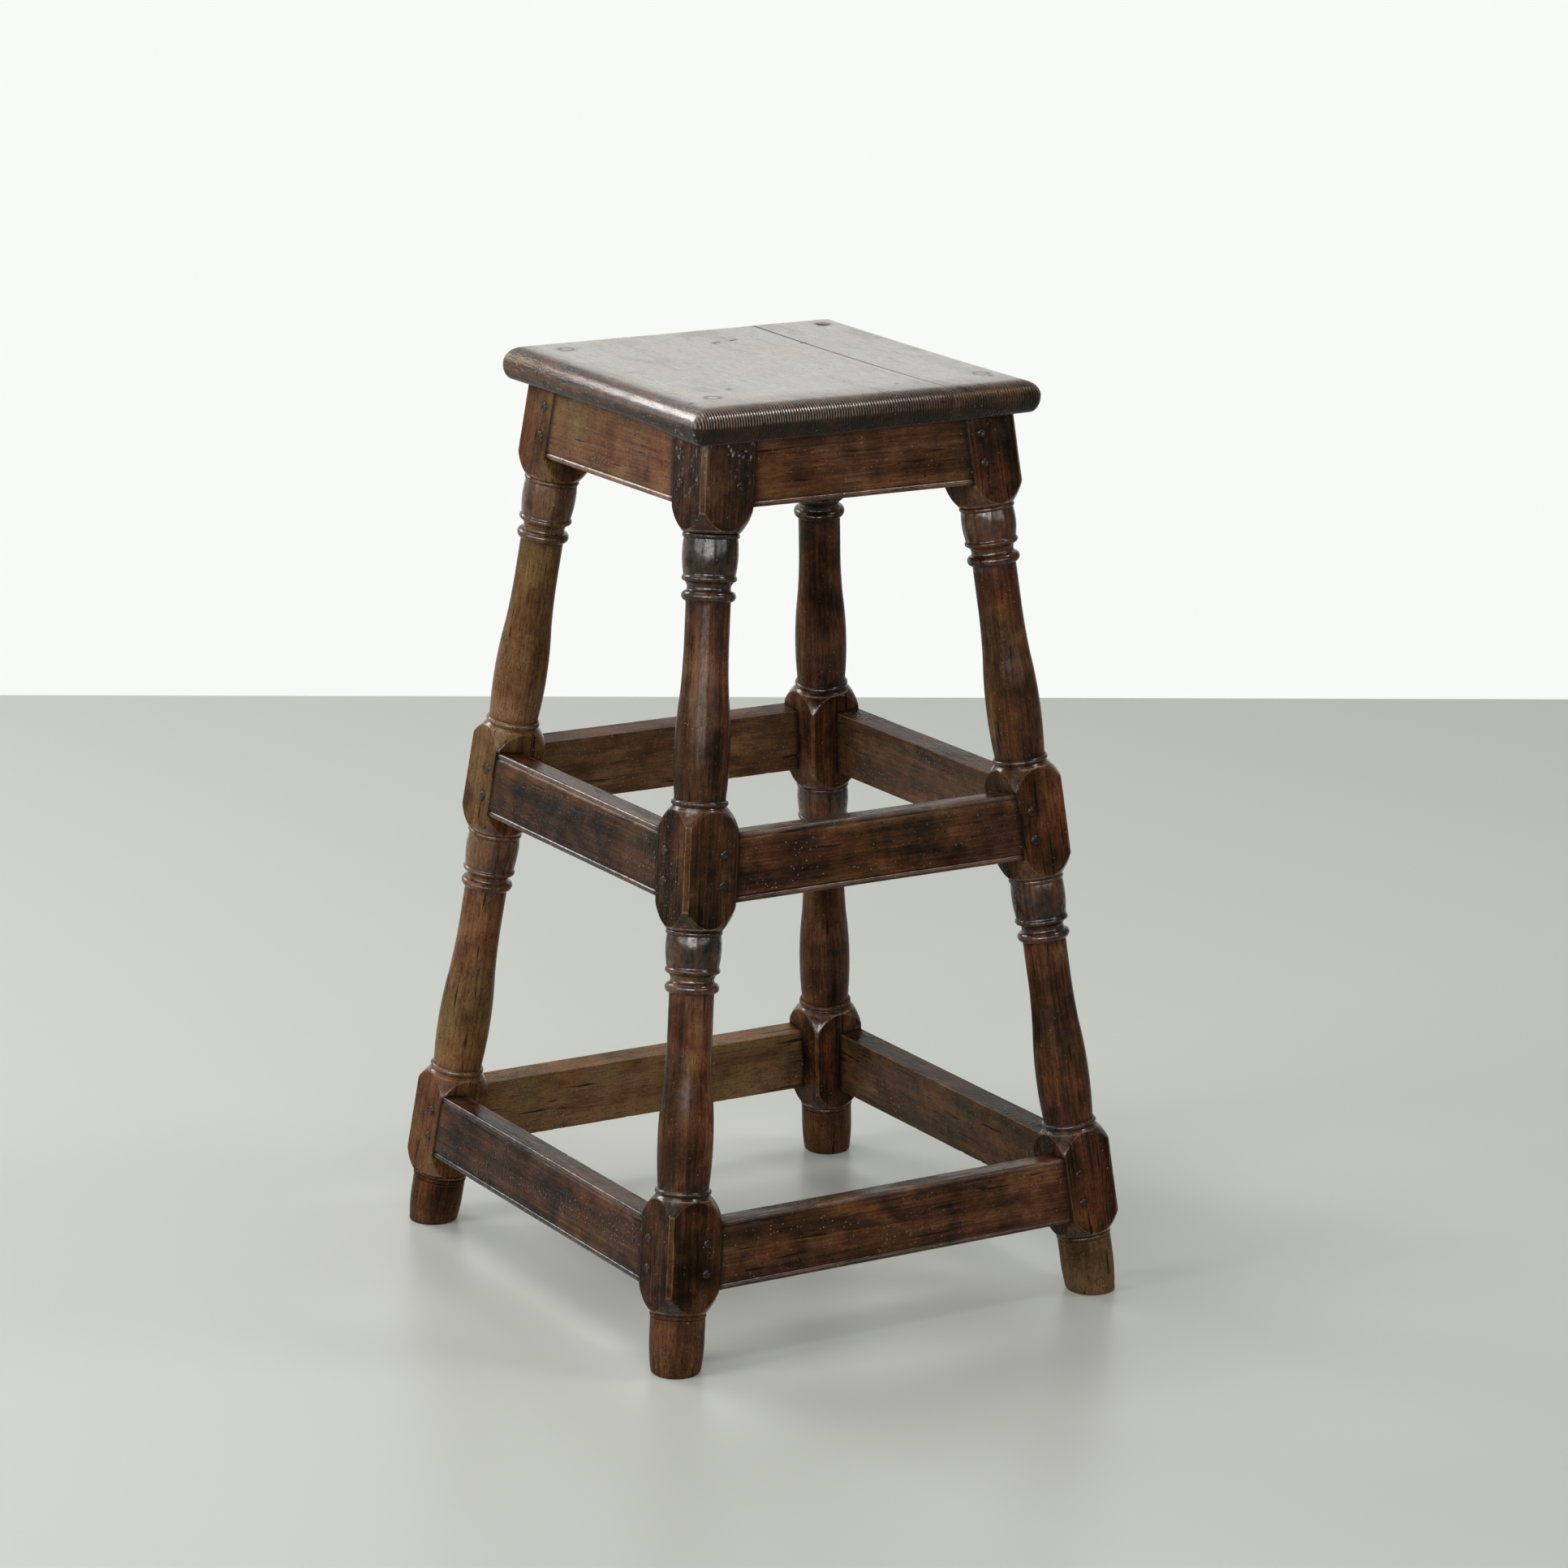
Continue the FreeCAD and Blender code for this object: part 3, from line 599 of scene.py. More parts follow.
# %% [markdown]
# The colour is built as the years built it. First comes the wood's own tone, from bands, streaks and
# blotches. Over it lie worn places, rubbed edges with painted highlight lines on the blocks, dark pores and
# cracks, grime with painted shade at the joints and under the seat, and last the pale chips and specks, and
# pale dots that are partly wax and partly painted glints. One long formula could do it, but a list of layers
# is easier to follow and to change.

# %% Colour of the oak
TONE_SHARES = {"bands": 0.62, "streaks": 0.45, "blotches": 0.87, "shade": 1}
TONE_MIDDLE = 0.505
LEAST_BARE_SHARE = 0.5
LEAST_RUBBED_AND_HIGHLIGHT_SHARE = 0.3
RUBBED_AND_HIGHLIGHT_SHARE = 0.8
DARK_SHARES = {"pores": 0.65, "checks": 0.9, "speckles": 0.5}
# Black for grime, holes and hollows, and for the painted shade that the joints and the underside carry.
GRIME_AND_SHADE_SHARES = {"soil": 0.9, "hollow": 0.63, "grime": 0.54, "holes": 0.9}
PALE_SHARES = {"chipped": 0.55, "specks": 0.8}
# Pale dots that are partly wax bloom and partly painted glints.
BLOOM_AND_GLINT_SHARES = {"crumbs": 0.6, "flecks": 0.75}


def weighed(wood, shares):
    """The sum of some wires of the wood, each times its share."""
    return sum(wood[label] * share for label, share in shares.items())


def strongest(wood, shares):
    """The largest of some wires of the wood, each times its share."""
    result, *others = (wood[label] * share for label, share in shares.items())
    for other in others:
        result = result.math("MAXIMUM", other)
    return result


def oak_colour(wood, darkness, bare_colour):
    tone = weighed(wood, TONE_SHARES) - TONE_MIDDLE - darkness
    colour = add(tone.tree, "ShaderNodeValToRGB", {"stops": TONE_STOPS}, {0: tone})
    colour = blended("MULTIPLY", wood["ruddy"], colour, RUDDY)
    colour = blended("MULTIPLY", wood["olive"], colour, OLIVE)
    layers = [
        (wood["bare"] * patchy(wood["stains"].rise(*BARE_RISE), LEAST_BARE_SHARE), bare_colour),
        # Rubbed edges, with painted highlight lines where the crest runs along the blocks' ridges.
        (wood["crest"].rise(*RUBBED_AND_HIGHLIGHT_RISE) * patchy(wood["rubbing"], LEAST_RUBBED_AND_HIGHLIGHT_SHARE) * RUBBED_AND_HIGHLIGHT_SHARE,
         RUBBED_AND_HIGHLIGHT_OAK),
        (strongest(wood, DARK_SHARES), BLACK_WAX),
        (strongest(wood, GRIME_AND_SHADE_SHARES), BLACK_WAX),
        (strongest(wood, PALE_SHARES), BARE_OAK),
        (strongest(wood, BLOOM_AND_GLINT_SHARES), BLOOM_AND_GLINT),
    ]
    for factor, layer in layers:
        colour = mixed(factor, colour, layer)
    return colour


print("layers over the tone: worn, rubbed, dark, grime, pale and bloom")

# %% [markdown]
# Pores, cracks and blisters catch the light as much as they colour the wood. Modelled, they would need
# millions of faces, so their height is worked out in metres and goes to one Bump node, and they keep
# their real depth at any size. The wax is a coat over the wood. It shines only where it is polished, and
# it is broken up by dashes and fine grain, as wax is that has sunk into the pores.

# %% Relief and gloss of the oak
RELIEF_HEIGHTS = {
    "streaks": 0.16 * MM, "pores": -0.08 * MM, "checks": -0.4 * MM, "holes": -0.8 * MM, "grit": 0.22 * MM,
}
ROUGH_GRIT_HEIGHT = 1.2 * MM
BLISTER_HEIGHT = 0.25 * MM
LEAST_BLISTER_SHARE = 0.3
CUT_DEPTH = 1.6 * MM
ROUGHNESS_SHARES = {"blotches": 0.26, "soil": 0.15, "hollow": 0.08, "chip": 0.15, "hewn": 0.3}
LEAST_ROUGHNESS = 0.06
DIRT_AND_SHADE_DULLING_SHARE = 0.95
ROUGH_DULLING_SHARE = 0.5
DASH_DULLING_SHARE = 0.2
DASH_BREAKUP_SHARE = 0.3


def oak_relief(wood):
    """The height of the surface in metres."""
    height = weighed(wood, RELIEF_HEIGHTS) + wood["grit"] * wood["rough"] * ROUGH_GRIT_HEIGHT
    height = height + wood["blisters"] * patchy(wood["rough"], LEAST_BLISTER_SHARE) * BLISTER_HEIGHT
    return height + wood["cuts"] * wood["hewn"] * CUT_DEPTH


def oak_polish(wood, breakup):
    """How much of the wax coat shines."""
    polish = wood["polish"] * (1 - wood["soil"] * DIRT_AND_SHADE_DULLING_SHARE) * (1 - wood["holes"])
    polish = polish * (1 - wood["rough"] * (breakup * ROUGH_DULLING_SHARE))
    polish = polish * (1 - wood["dashes"] * (DASH_DULLING_SHARE + breakup * DASH_BREAKUP_SHARE))
    return polish * patchy(wood["fine"], 1 - breakup)


print("deepest mark of the tool: %.1f mm" % (CUT_DEPTH / MM))

# %% [markdown]
# The boards of the seat end at the front and the back, and there the growth rings stand out as fine upright
# ridges. They could be cut as real grooves, but at half a millimetre each the bump is enough. A wave runs
# across the board, its height is added to the relief, and only the ridges shine; their tops are also painted
# pale as a painted highlight.

# %% End grain
RING_STRETCH = (1, 0.5, 0)
RING_WAVES = {"Scale": 128, "Distortion": 3.8, "Detail": 2, "Detail Scale": 0.5}
RING_HEIGHT = 0.28 * MM
RIDGE_RISE = (0.45, 0.8)
RING_DARK_SHARE = 0.45
RING_HIGHLIGHT_SHARE = 0.5
LEAST_RIDGE_HIGHLIGHT_SHARE = 0.4


def with_end_grain(grain, wood, colour, height, polish):
    """The colour, height and polish with the growth rings of the ends, and a painted highlight on their
    ridges.
    """
    end = mark(grain.tree, "end")
    rings = add(grain.tree, "ShaderNodeTexWave", {"wave_type": "BANDS", "bands_direction": "X"},
                {"Vector": stretched(grain, RING_STRETCH), **RING_WAVES})
    ridges = rings.rise(*RIDGE_RISE)
    # A painted highlight on the polished tops of the ridges.
    ridge_highlight = end * ridges * wood["polish"] * patchy(wood["fine"], LEAST_RIDGE_HIGHLIGHT_SHARE)
    colour = mixed(end * (1 - rings) * RING_DARK_SHARE, colour, BLACK_WAX)
    colour = mixed(ridge_highlight * RING_HIGHLIGHT_SHARE, colour, BLOOM_AND_GLINT)
    return colour, height + rings * end * RING_HEIGHT, polish * (1 - end * (1 - ridges))


# %% [markdown]
# The finishes differ as they do on the stool. Legs and rails are dark under their wax. The seat is pale,
# partly dusty and partly with a painted sheen, and its wax mirrors strongly but softly at the edges. The pegs
# are a little darker than the wood round them. One finish for all would be less to write, but with a finish
# for each kind of piece, each can be changed alone.

# %% The four finishes
SHEEN_ROUGHNESS = 0.3


def build_oak(name, body=1.14, dullness=0.3, darkness=0.0, wax=1.5, softness=0.17, sheen=0.0, breakup=0.6,
              tint=WAX_TINT, bare_colour=DUSTY_OAK, end_grain=False):
    """One oak. Body and wax are how strongly the wood and its coat mirror, softness blurs the coat's
    gloss, and breakup is how far the grain breaks it up."""
    material = bpy.data.materials.new(name)
    material.use_nodes = True
    tree = material.node_tree
    tree.nodes.clear()
    grain, wood = read_wood(tree)
    colour = oak_colour(wood, darkness, bare_colour)
    height = oak_relief(wood)
    polish = oak_polish(wood, breakup)
    if end_grain:
        colour, height, polish = with_end_grain(grain, wood, colour, height, polish)
    roughness = weighed(wood, ROUGHNESS_SHARES) + wood["bare"] * dullness + LEAST_ROUGHNESS
    bump = add(tree, "ShaderNodeBump", None, {"Strength": 1, "Distance": 1, "Height": height})
    surface = add(tree, "ShaderNodeBsdfPrincipled", None, {
        "Base Color": colour, "Roughness": roughness, "Normal": bump, "IOR": body,
        "Specular Tint": (*tint, 1), "Coat Weight": polish, "Coat Roughness": softness, "Coat IOR": wax,
        "Sheen Weight": sheen, "Sheen Roughness": SHEEN_ROUGHNESS})
    leave = tree.nodes.new("ShaderNodeOutputMaterial")
    tree.links.new(surface.socket, leave.inputs[0])
    print("%-10s %4d nodes" % (name, len(tree.nodes)))
    return material


leg_oak = build_oak("leg oak", body=1.08)
rail_oak = build_oak("rail oak")
seat_oak = build_oak("seat oak", body=1.25, dullness=0.1, wax=2.05, softness=0.24, sheen=0.16, breakup=0.15,
                     tint=CLEAR_TINT, bare_colour=WORN_AND_SHEEN_OAK, end_grain=True)
peg_oak = build_oak("peg oak", darkness=0.04, breakup=0.5)

# %% [markdown]
# ## The outline of a leg
# A turner works to a pattern stick on which each ring and hollow is marked. The outline here is such a
# list of places, each so deep below the flats of the blocks and so high on the leg, and a third place
# makes the stretch to the next one a round. A drawn curve would do as well, but a list can be read and
# changed by its names. It is then filled in with points and averaged a little, because every crisp
# corner has been rubbed. What the averaging takes off is a crest, and what it fills is a hollow.

# %% Turner's sizes
# Lengths along the leg, depths below its flats, and the spacing of rows are in millimetres.
LENGTHS = {
    "foot": 48, "block": 94.2, "top_block": 80, "shoulder": 30, "ring": 4.6, "barrel": 29, "bead": 4.6,
    "cove": 7.3, "torus": 8.6, "neck": 36, "flare": 38.5, "belly_rise": 34.5, "foot_taper": 25,
    "foot_swell": 10,
}
DEPTHS = {
    "shoulder": 1.3, "ring": 1.2, "ring_root": 3, "barrel": 1.75, "barrel_top": 2.5, "barrel_foot": 3.4,
    "bead": 2, "cove": 6.5, "torus": 2.35, "neck": 6.15, "flare_middle": 5.65, "flare": 4.5,
    "belly": 1.85, "column_foot": 3.6, "foot": 1.85, "foot_swell": 2.7, "sole": 3.9,
}
SHOULDER_LENGTH_SHARE = 0.36
SHOULDER_WIDTH_SHARE = 0.56
OVERRUN = 8
CORNER_OVERRUN = 1
ROW_SPACING = 1.7
FINE_ROW_SPACING = 0.55
FINE_SPAN = 15
SHOULDER_ROW_SPACING = 1.0
FEWEST_ARC_ROWS = 3
past_corner = half_stock / MM * math.sqrt(2) + CORNER_OVERRUN
turned_lengths = LENGTHS["foot"] + 2 * LENGTHS["block"] + LENGTHS["top_block"]
baluster_length = (leg_length / MM - turned_lengths) / 2
print("baluster length: %.1f mm" % baluster_length)


def at_depth(name):
    """The radius of a turned place in millimetres."""
    return half_stock / MM - DEPTHS[name]


# %% Arcs and lines
def arc_through(start, middle, end, spacing):
    """Evenly spaced places on the circle through three places, without the last."""
    a, b, c = complex(*start), complex(*middle), complex(*end)
    ratio = (c - a) / (b - a)
    centre = a - (a - b) * (ratio - abs(ratio) ** 2) / (2j * ratio.imag)
    first_turn = np.angle((b - centre) / (a - centre))
    turn = first_turn + np.angle((c - centre) / (b - centre))
    steps = max(FEWEST_ARC_ROWS, round(abs(turn) * abs(a - centre) / spacing))
    spots = centre + (a - centre) * np.exp(1j * turn * np.arange(steps) / steps)
    return [(spot.real, spot.imag) for spot in spots]


def line_between(start, end, spacing):
    """Evenly spaced places on a straight line, without the last."""
    steps = max(1, round(math.dist(start, end) / spacing))
    return [tuple(np.add(start, np.subtract(end, start) * step / steps)) for step in range(steps)]


# %% Places along a leg
def baluster_places(start):
    """The places of one baluster, from the block below up to the block above."""
    end = start + baluster_length
    low_shoulder = shoulder_places(start, -1)
    top_shoulder = shoulder_places(end, 1)
    places = [low_shoulder[2] + (low_shoulder[1],)] + ring_places(start)
    height = start + LENGTHS["ring"]
    places.append((at_depth("column_foot"), height, (at_depth("belly"), height + LENGTHS["belly_rise"])))
    height = end - sum(LENGTHS[part] for part in ("ring", "barrel", "bead", "cove", "torus", "neck", "flare"))
    for root, part, middle in (("flare", "flare", "flare_middle"), ("neck", "neck", None),
                               ("neck", "torus", "torus"), ("neck", "cove", "cove"),
                               ("barrel_foot", "bead", "bead"), ("barrel_foot", "barrel", "barrel")):
        bulge = ((at_depth(middle), height + LENGTHS[part] / 2),) if middle else ()
        places.append((at_depth(root), height) + bulge)
        height += LENGTHS[part]
    places.append((at_depth("barrel_top"), height))
    return places + ring_places(height) + [top_shoulder[0] + (top_shoulder[1],), top_shoulder[2]]


def ring_places(start):
    middle = start + LENGTHS["ring"] / 2
    return [(at_depth("ring_root"), start, (at_depth("ring"), middle)),
            (at_depth("ring_root"), start + LENGTHS["ring"])]


def shoulder_places(block_end, way):
    """The rounded end of a block: where it starts, a place on the way, and the corner of the stick."""
    first = at_depth("shoulder")
    return [
        (first, block_end),
        (first + (past_corner - first) * SHOULDER_WIDTH_SHARE,
         block_end + way * LENGTHS["shoulder"] * SHOULDER_LENGTH_SHARE),
        (past_corner, block_end + way * LENGTHS["shoulder"]),
    ]


def leg_places():
    """The places of a whole leg, from below the floor to above its top."""
    foot_shoulder = shoulder_places(LENGTHS["foot"], 1)
    places = [
        (at_depth("sole"), -OVERRUN),
        (at_depth("sole"), 0, (at_depth("foot_swell"), LENGTHS["foot_swell"])),
        (at_depth("foot"), LENGTHS["foot_taper"]),
        (at_depth("foot"), LENGTHS["foot"] - LENGTHS["ring"]),
    ] + ring_places(LENGTHS["foot"] - LENGTHS["ring"])
    places += [foot_shoulder[0] + (foot_shoulder[1],), foot_shoulder[2]]
    low_start = LENGTHS["foot"] + LENGTHS["block"]
    places += baluster_places(low_start)
    places += baluster_places(places[-1][1] - LENGTHS["shoulder"] + LENGTHS["block"])
    return places + [(past_corner, leg_length / MM + OVERRUN)]


print("places along a leg:", len(leg_places()))


# %% Outline of the turned leg
def filled_in(places):
    """An outline's places filled in with points, close together where the shape is small."""
    points = []
    for place, following in zip(places, places[1:]):
        span = abs(following[1] - place[1])
        spacing = FINE_ROW_SPACING if span < FINE_SPAN else ROW_SPACING
        if math.isclose(span, LENGTHS["shoulder"]):
            spacing = SHOULDER_ROW_SPACING
        if len(place) == 3:
            points += arc_through(place[:2], place[2], following[:2], spacing)
        else:
            points += line_between(place[:2], following[:2], spacing)
    return np.array(points + [places[-1][:2]])


leg_outline = filled_in(leg_places())
print("leg outline:", len(leg_outline), "rows")

# %% [markdown]
# Each leg was turned by eye, so the rings of one leg don't quite line up with those of the next. Four
# copies of one leg would look machine made. The shifts were read from the legs as they stand, and move
# each ring or moulding up or down at its height.

# %% Uneven turning
# Of each leg: heights along it, and how far the turning has moved up there, in millimetres.
TURNING_SHIFTS = {
    "front_left": [(0, 0), (320.9, 0), (354.5, -3.5), (453.3, 0)],
    "front_right": [(0, 0), (45.7, 2.5), (144.5, 0), (307, -1.1), (320.9, -1.9), (354.5, -0.7), (453.3, 0.4),
                    (615.9, 5), (629.8, 5.2), (663.4, 0)],
    "back_left": [(0, 0), (45.7, -4.5), (144.5, -3.3), (307, 2.3), (320.9, 0.1), (354.5, 0)],
    "back_right": [(0, 0), (144.5, 3.4), (307, 7), (320.9, 7.6), (354.5, 3.7), (453.3, 0), (615.9, -4.5),
                   (720, 0)],
}
SOFTENING = 0.45
NEIGHBOURS = 3
MARK_REACH = 5
MARK_DEPTH = 0.5


def softened(points, reach, closed=False):
    """Points averaged with their neighbours."""
    steps = np.arange(-NEIGHBOURS, NEIGHBOURS + 1)
    result = np.zeros_like(points)
    weights = np.exp(-0.5 * (steps * FINE_ROW_SPACING / reach) ** 2)
    for step, weight in zip(steps, weights / weights.sum()):
        if closed:
            result += np.roll(points, step, axis=0) * weight
        else:
            index = np.clip(np.arange(len(points)) + step, 0, len(points) - 1)
            result += points[index] * weight
    return result


def turned_mesh(corner):
    """The outline of one leg as points, with its crests and hollows marked."""
    radius, height = leg_outline.T.copy()
    heights, shifts = zip(*TURNING_SHIFTS[corner])
    height = height + np.interp(height, heights, shifts)
    shown = np.minimum(radius, half_stock / MM)
    window = np.hanning(2 * MARK_REACH + 1)
    around = np.convolve(np.pad(shown, MARK_REACH, mode="edge"), window / window.sum(), mode="valid")
    difference = shown - around
    radius = softened(np.stack([radius, height], 1), SOFTENING)[:, 0]
    points = np.stack([radius, np.zeros_like(radius), height], 1) * MM
    return new_mesh("outline_" + corner, points, crest=np.clip(difference / MARK_DEPTH, 0, 1),
                    hollow=np.clip(-difference / MARK_DEPTH, 0, 1))


print("shifted rings:", sum(shift != 0 for shifts in TURNING_SHIFTS.values() for _, shift in shifts))

# %% [markdown]
# ## Where the rails lie
# The twelve rails lean with the legs, so none of them is upright or level in every direction. Each could
# be turned into place by hand, but its pegs and its dirt have to follow it. So a rail is worked out in
# its own coordinates: X along it, Y from its face inwards, Z up its face. One matrix leans it back and
# turns it to its side of the stool, and its inverse says where any point lies on the rail.

# %% Places of the rails
RAIL_SETBACK = 1 * MM
RAIL_THICKNESS = 23 * MM
STRETCHER_WIDTH = 55 * MM
FRIEZE_DEPTH = 58 * MM
INTO_LEG = 2.2 * MM
FRIEZE_OVERRUN = 4 * MM
PEG_SETBACK = 13.5 * MM
PEG_SPACING = 24 * MM
QUARTER_TURN = math.radians(90)


class RailPlace:
    """Where the rail of one side and level lies."""

    def __init__(self, side, level):
        turns = SIDES.index(side)
        along, across = ("wide", "deep") if turns % 2 == 0 else ("deep", "wide")
        tilt = math.atan(slope[across])
        self.level = level
        self.ends = (CORNERS[turns], CORNERS[turns - 1])
        self.run = slope[along] * math.cos(tilt)
        low_block = LENGTHS["foot"] + LENGTHS["block"] / 2
        mid_block = low_block + LENGTHS["block"] + baluster_length
        middle = {
            "low": low_block * MM * math.cos(lean),
            "mid": mid_block * MM * math.cos(lean),
            "frieze": frame_height - FRIEZE_DEPTH / 2,
        }[level]
        self.axis = half_foot[along] - middle * slope[along]
        self.widening = math.hypot(1, self.run)
        face = half_foot[across] - middle * slope[across] + (half_stock - RAIL_SETBACK) / math.cos(tilt)
        self.matrix = (Matrix.Rotation(QUARTER_TURN * turns, 4, "Z")
                       @ Matrix.Translation((0, -face, middle)) @ Matrix.Rotation(-tilt, 4, "X"))
        half = (FRIEZE_DEPTH / math.cos(tilt) if level == "frieze" else STRETCHER_WIDTH) / 2
        self.foot = -half
        self.top = half + (FRIEZE_OVERRUN if level == "frieze" else 0)

    def from_leg(self, distance, height):
        """How far from the middle a line lies that keeps its distance from the leg's centre line."""
        return self.axis - height * self.run + distance * self.widening


rail_places = {(level, side): RailPlace(side, level) for level in LEVELS for side in SIDES}
print("rails:", len(rail_places))

# %% [markdown]
# ## Dirt and painted shade at the joints
# Wax and dust build up in every inside corner, and shade falls there too, so both are painted into the
# colour. An Ambient Occlusion node would find such corners as well, but it traces extra rays for every sample
# and spreads alike round rails and pegs. So a point's "soil" is measured once: it grows as the point comes
# near the shoulder line of a rail, as dirt and painted shade, near the rim of a peg, as dirt, and near the
# underside of the seat, as painted shade.

# %% Dirt and painted shade
SHOULDER_DIRT_AND_SHADE_REACH = 2.2 * MM
SHOULDER_DIRT_AND_SHADE_WIDTH = 1 * MM
PEG_RADIUS = 3.7 * MM
PEG_SOIL_REACH = 0.8 * MM
# Painted shade under the seat: how far down it reaches, and how dark it gets.
SEAT_SHADOW = 5 * MM
SHADE_UNDER_SEAT_SHARE = 0.8


def carried(points, matrix):
    """Points carried by a matrix."""
    turn = np.array(matrix.to_3x3())
    return points @ turn.T + np.array(matrix.translation)


def peg_spots(place):
    """Each joint peg of a rail in the rail's coordinates, with the corner that it pins."""
    for corner, sign in zip(place.ends, (1, -1)):
        for height in (PEG_SPACING / 2, -PEG_SPACING / 2):
            yield corner, (sign * place.from_leg(-half_stock + PEG_SETBACK, height), height)


def dirt_and_shade_near_joints(points, corner=None):
    """How dirty points are, and how much painted shade they get, from their distance to rails, pegs and the
    seat. A corner limits it to one leg's joints.
    """
    soil = np.zeros(len(points))
    for place in rail_places.values():
        if corner is not None and corner not in place.ends:
            continue
        along, inward, height = carried(points, place.matrix.inverted()).T
        end = np.abs(along) - place.from_leg(-half_stock, height)
        aside = np.hypot(np.maximum(np.maximum(-inward, inward - RAIL_THICKNESS), 0),
                         np.maximum(np.maximum(place.foot - height, height - place.top), 0))
        # Dirt and painted shade along the shoulder line of the rail.
        near = np.exp(-np.hypot(aside, np.maximum(np.abs(end) - SHOULDER_DIRT_AND_SHADE_WIDTH, 0)) / SHOULDER_DIRT_AND_SHADE_REACH)
        soil = np.maximum(soil, near)
        for _, (x, z) in peg_spots(place):
            rim = np.abs(np.hypot(along - x, height - z) - PEG_RADIUS)
            soil = np.maximum(soil, np.where(inward < half_stock, np.exp(-rim / PEG_SOIL_REACH), 0))
    # Painted shade under the seat, on the tops of the legs and of the frieze rails.
    shade_under_seat = np.exp(-np.abs(frame_height - points[:, 2]) / SEAT_SHADOW)
    return np.maximum(soil, shade_under_seat * SHADE_UNDER_SEAT_SHARE)


joint_pegs = sum(len(list(peg_spots(place))) for place in rail_places.values())
print("joints to soil: %d, with %d pegs" % (2 * len(rail_places), joint_pegs))

# %% [markdown]
# ## Handing a piece to the frame
# A joiner cuts every leg level once the frame is together, and so does this step, by bisecting the mesh.
# A Boolean could cut it too, but it is slower and may leave slivers. Then the mesh is closed, its faces
# are turned outwards, its shading is smooth except over true edges, and it takes the place of the node
# that it stands for.

# %% Finishing a piece
SHARP_ANGLE = math.radians(50)
HAIR = 0.001 * MM


def cut_level(shape, height, keep_below):
    """Cuts a mesh level at a height and closes the cut."""
    parts = shape.verts[:] + shape.edges[:] + shape.faces[:]
    cut = bmesh.ops.bisect_plane(
        shape, geom=parts, dist=HAIR, plane_co=(0, 0, height), plane_no=(0, 0, 1),
        clear_outer=keep_below, clear_inner=not keep_below)
    edges = [part for part in cut["geom_cut"] if isinstance(part, bmesh.types.BMEdge)]
    bmesh.ops.edgeloop_fill(shape, edges=edges)


def close_mesh(mesh, floor=None, ceiling=None):
    """Cuts a mesh level where asked, closes its open ends and turns its faces outwards."""
    shape = bmesh.new()
    shape.from_mesh(mesh)
    if floor is not None:
        cut_level(shape, floor, False)
    if ceiling is not None:
        cut_level(shape, ceiling, True)
    bmesh.ops.holes_fill(shape, edges=[edge for edge in shape.edges if edge.is_boundary], sides=0)
    bmesh.ops.recalc_face_normals(shape, faces=shape.faces)
    shape.to_mesh(mesh)
    shape.free()
    mesh.shade_smooth()
    mesh.set_sharp_from_angle(angle=SHARP_ANGLE)


def join_frame(name, mesh, slot, *nodes):
    """Makes a piece of a mesh and puts it in the place of CAD nodes."""
    piece = bpy.data.objects.new(name, mesh)
    bpy.context.collection.objects.link(piece)
    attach(piece, "root")
    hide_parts(*nodes)
    triangles = sum(len(polygon.vertices) - 2 for polygon in mesh.polygons)
    print("%-24s %7d triangles" % (name, triangles))
    return piece


# %% [markdown]
# ## Legs
# A leg is one stick, and its wear tells its story: the outer corner is rubbed broad, the blocks and rings
# are handled and shine, the shafts less, and the feet hardly at all. The near leg also keeps the marks of
# the tool at its top. The outline is lathed, worked by hand and leant into place. Then its foot is cut
# level on the floor and its top level under the seat, and the rim of the sole is rubbed round. Painting
# the wear by hand would have to be done again after any change of size, so it is worked out from each
# point's height along the stick.

# %% Wear of the legs
LEG_COLUMNS = 128
LEG_SOFTNESS = 0.55 * MM
OUTER_WEAR = 1.9 * MM
SOLE_RIM = 2.2 * MM
SOLE_RIM_SHARE = 0.6
BARE_HEIGHT = 42 * MM
BARE_START = 1.2
# Of each leg: how bare its foot is, and how much lighter it is as a whole and at its foot, partly its own
# tone and partly painted light and shade.
BARE_FEET = {"front_left": 0.12, "front_right": 0.8, "back_left": 0.1, "back_right": 0.1}
LEG_SHADES = {"front_left": 0.01, "front_right": 0.05, "back_left": 0.24, "back_right": 0.03}
FOOT_SHADES = {"front_left": 0.04, "front_right": 0.09, "back_left": -0.24, "back_right": 0}
BLOCK_SHADE = 0.06
RINGS_SHADE = 0.08
SHAFT_POLISH = 0.16
FOOT_POLISH = 0.02
RINGS_LENGTH = sum(LENGTHS[part] for part in ("ring", "barrel", "bead", "cove", "torus")) * MM
HEWN_HEIGHT = 40 * MM
HEWN_MIDDLE = 0.5
# How much is left of the tool's marks at the top of each leg.
HEWN_SHARES = {"front_left": 1, "front_right": 0.1, "back_left": 0.1, "back_right": 0.1}
HEWN_POLISH = 0.25


def block_spans():
    """Where the square blocks begin and end along a leg."""
    start = LENGTHS["foot"] * MM
    for part in ("block", "block", "top_block"):
        yield start, start + LENGTHS[part] * MM
        start += (LENGTHS[part] + baluster_length) * MM


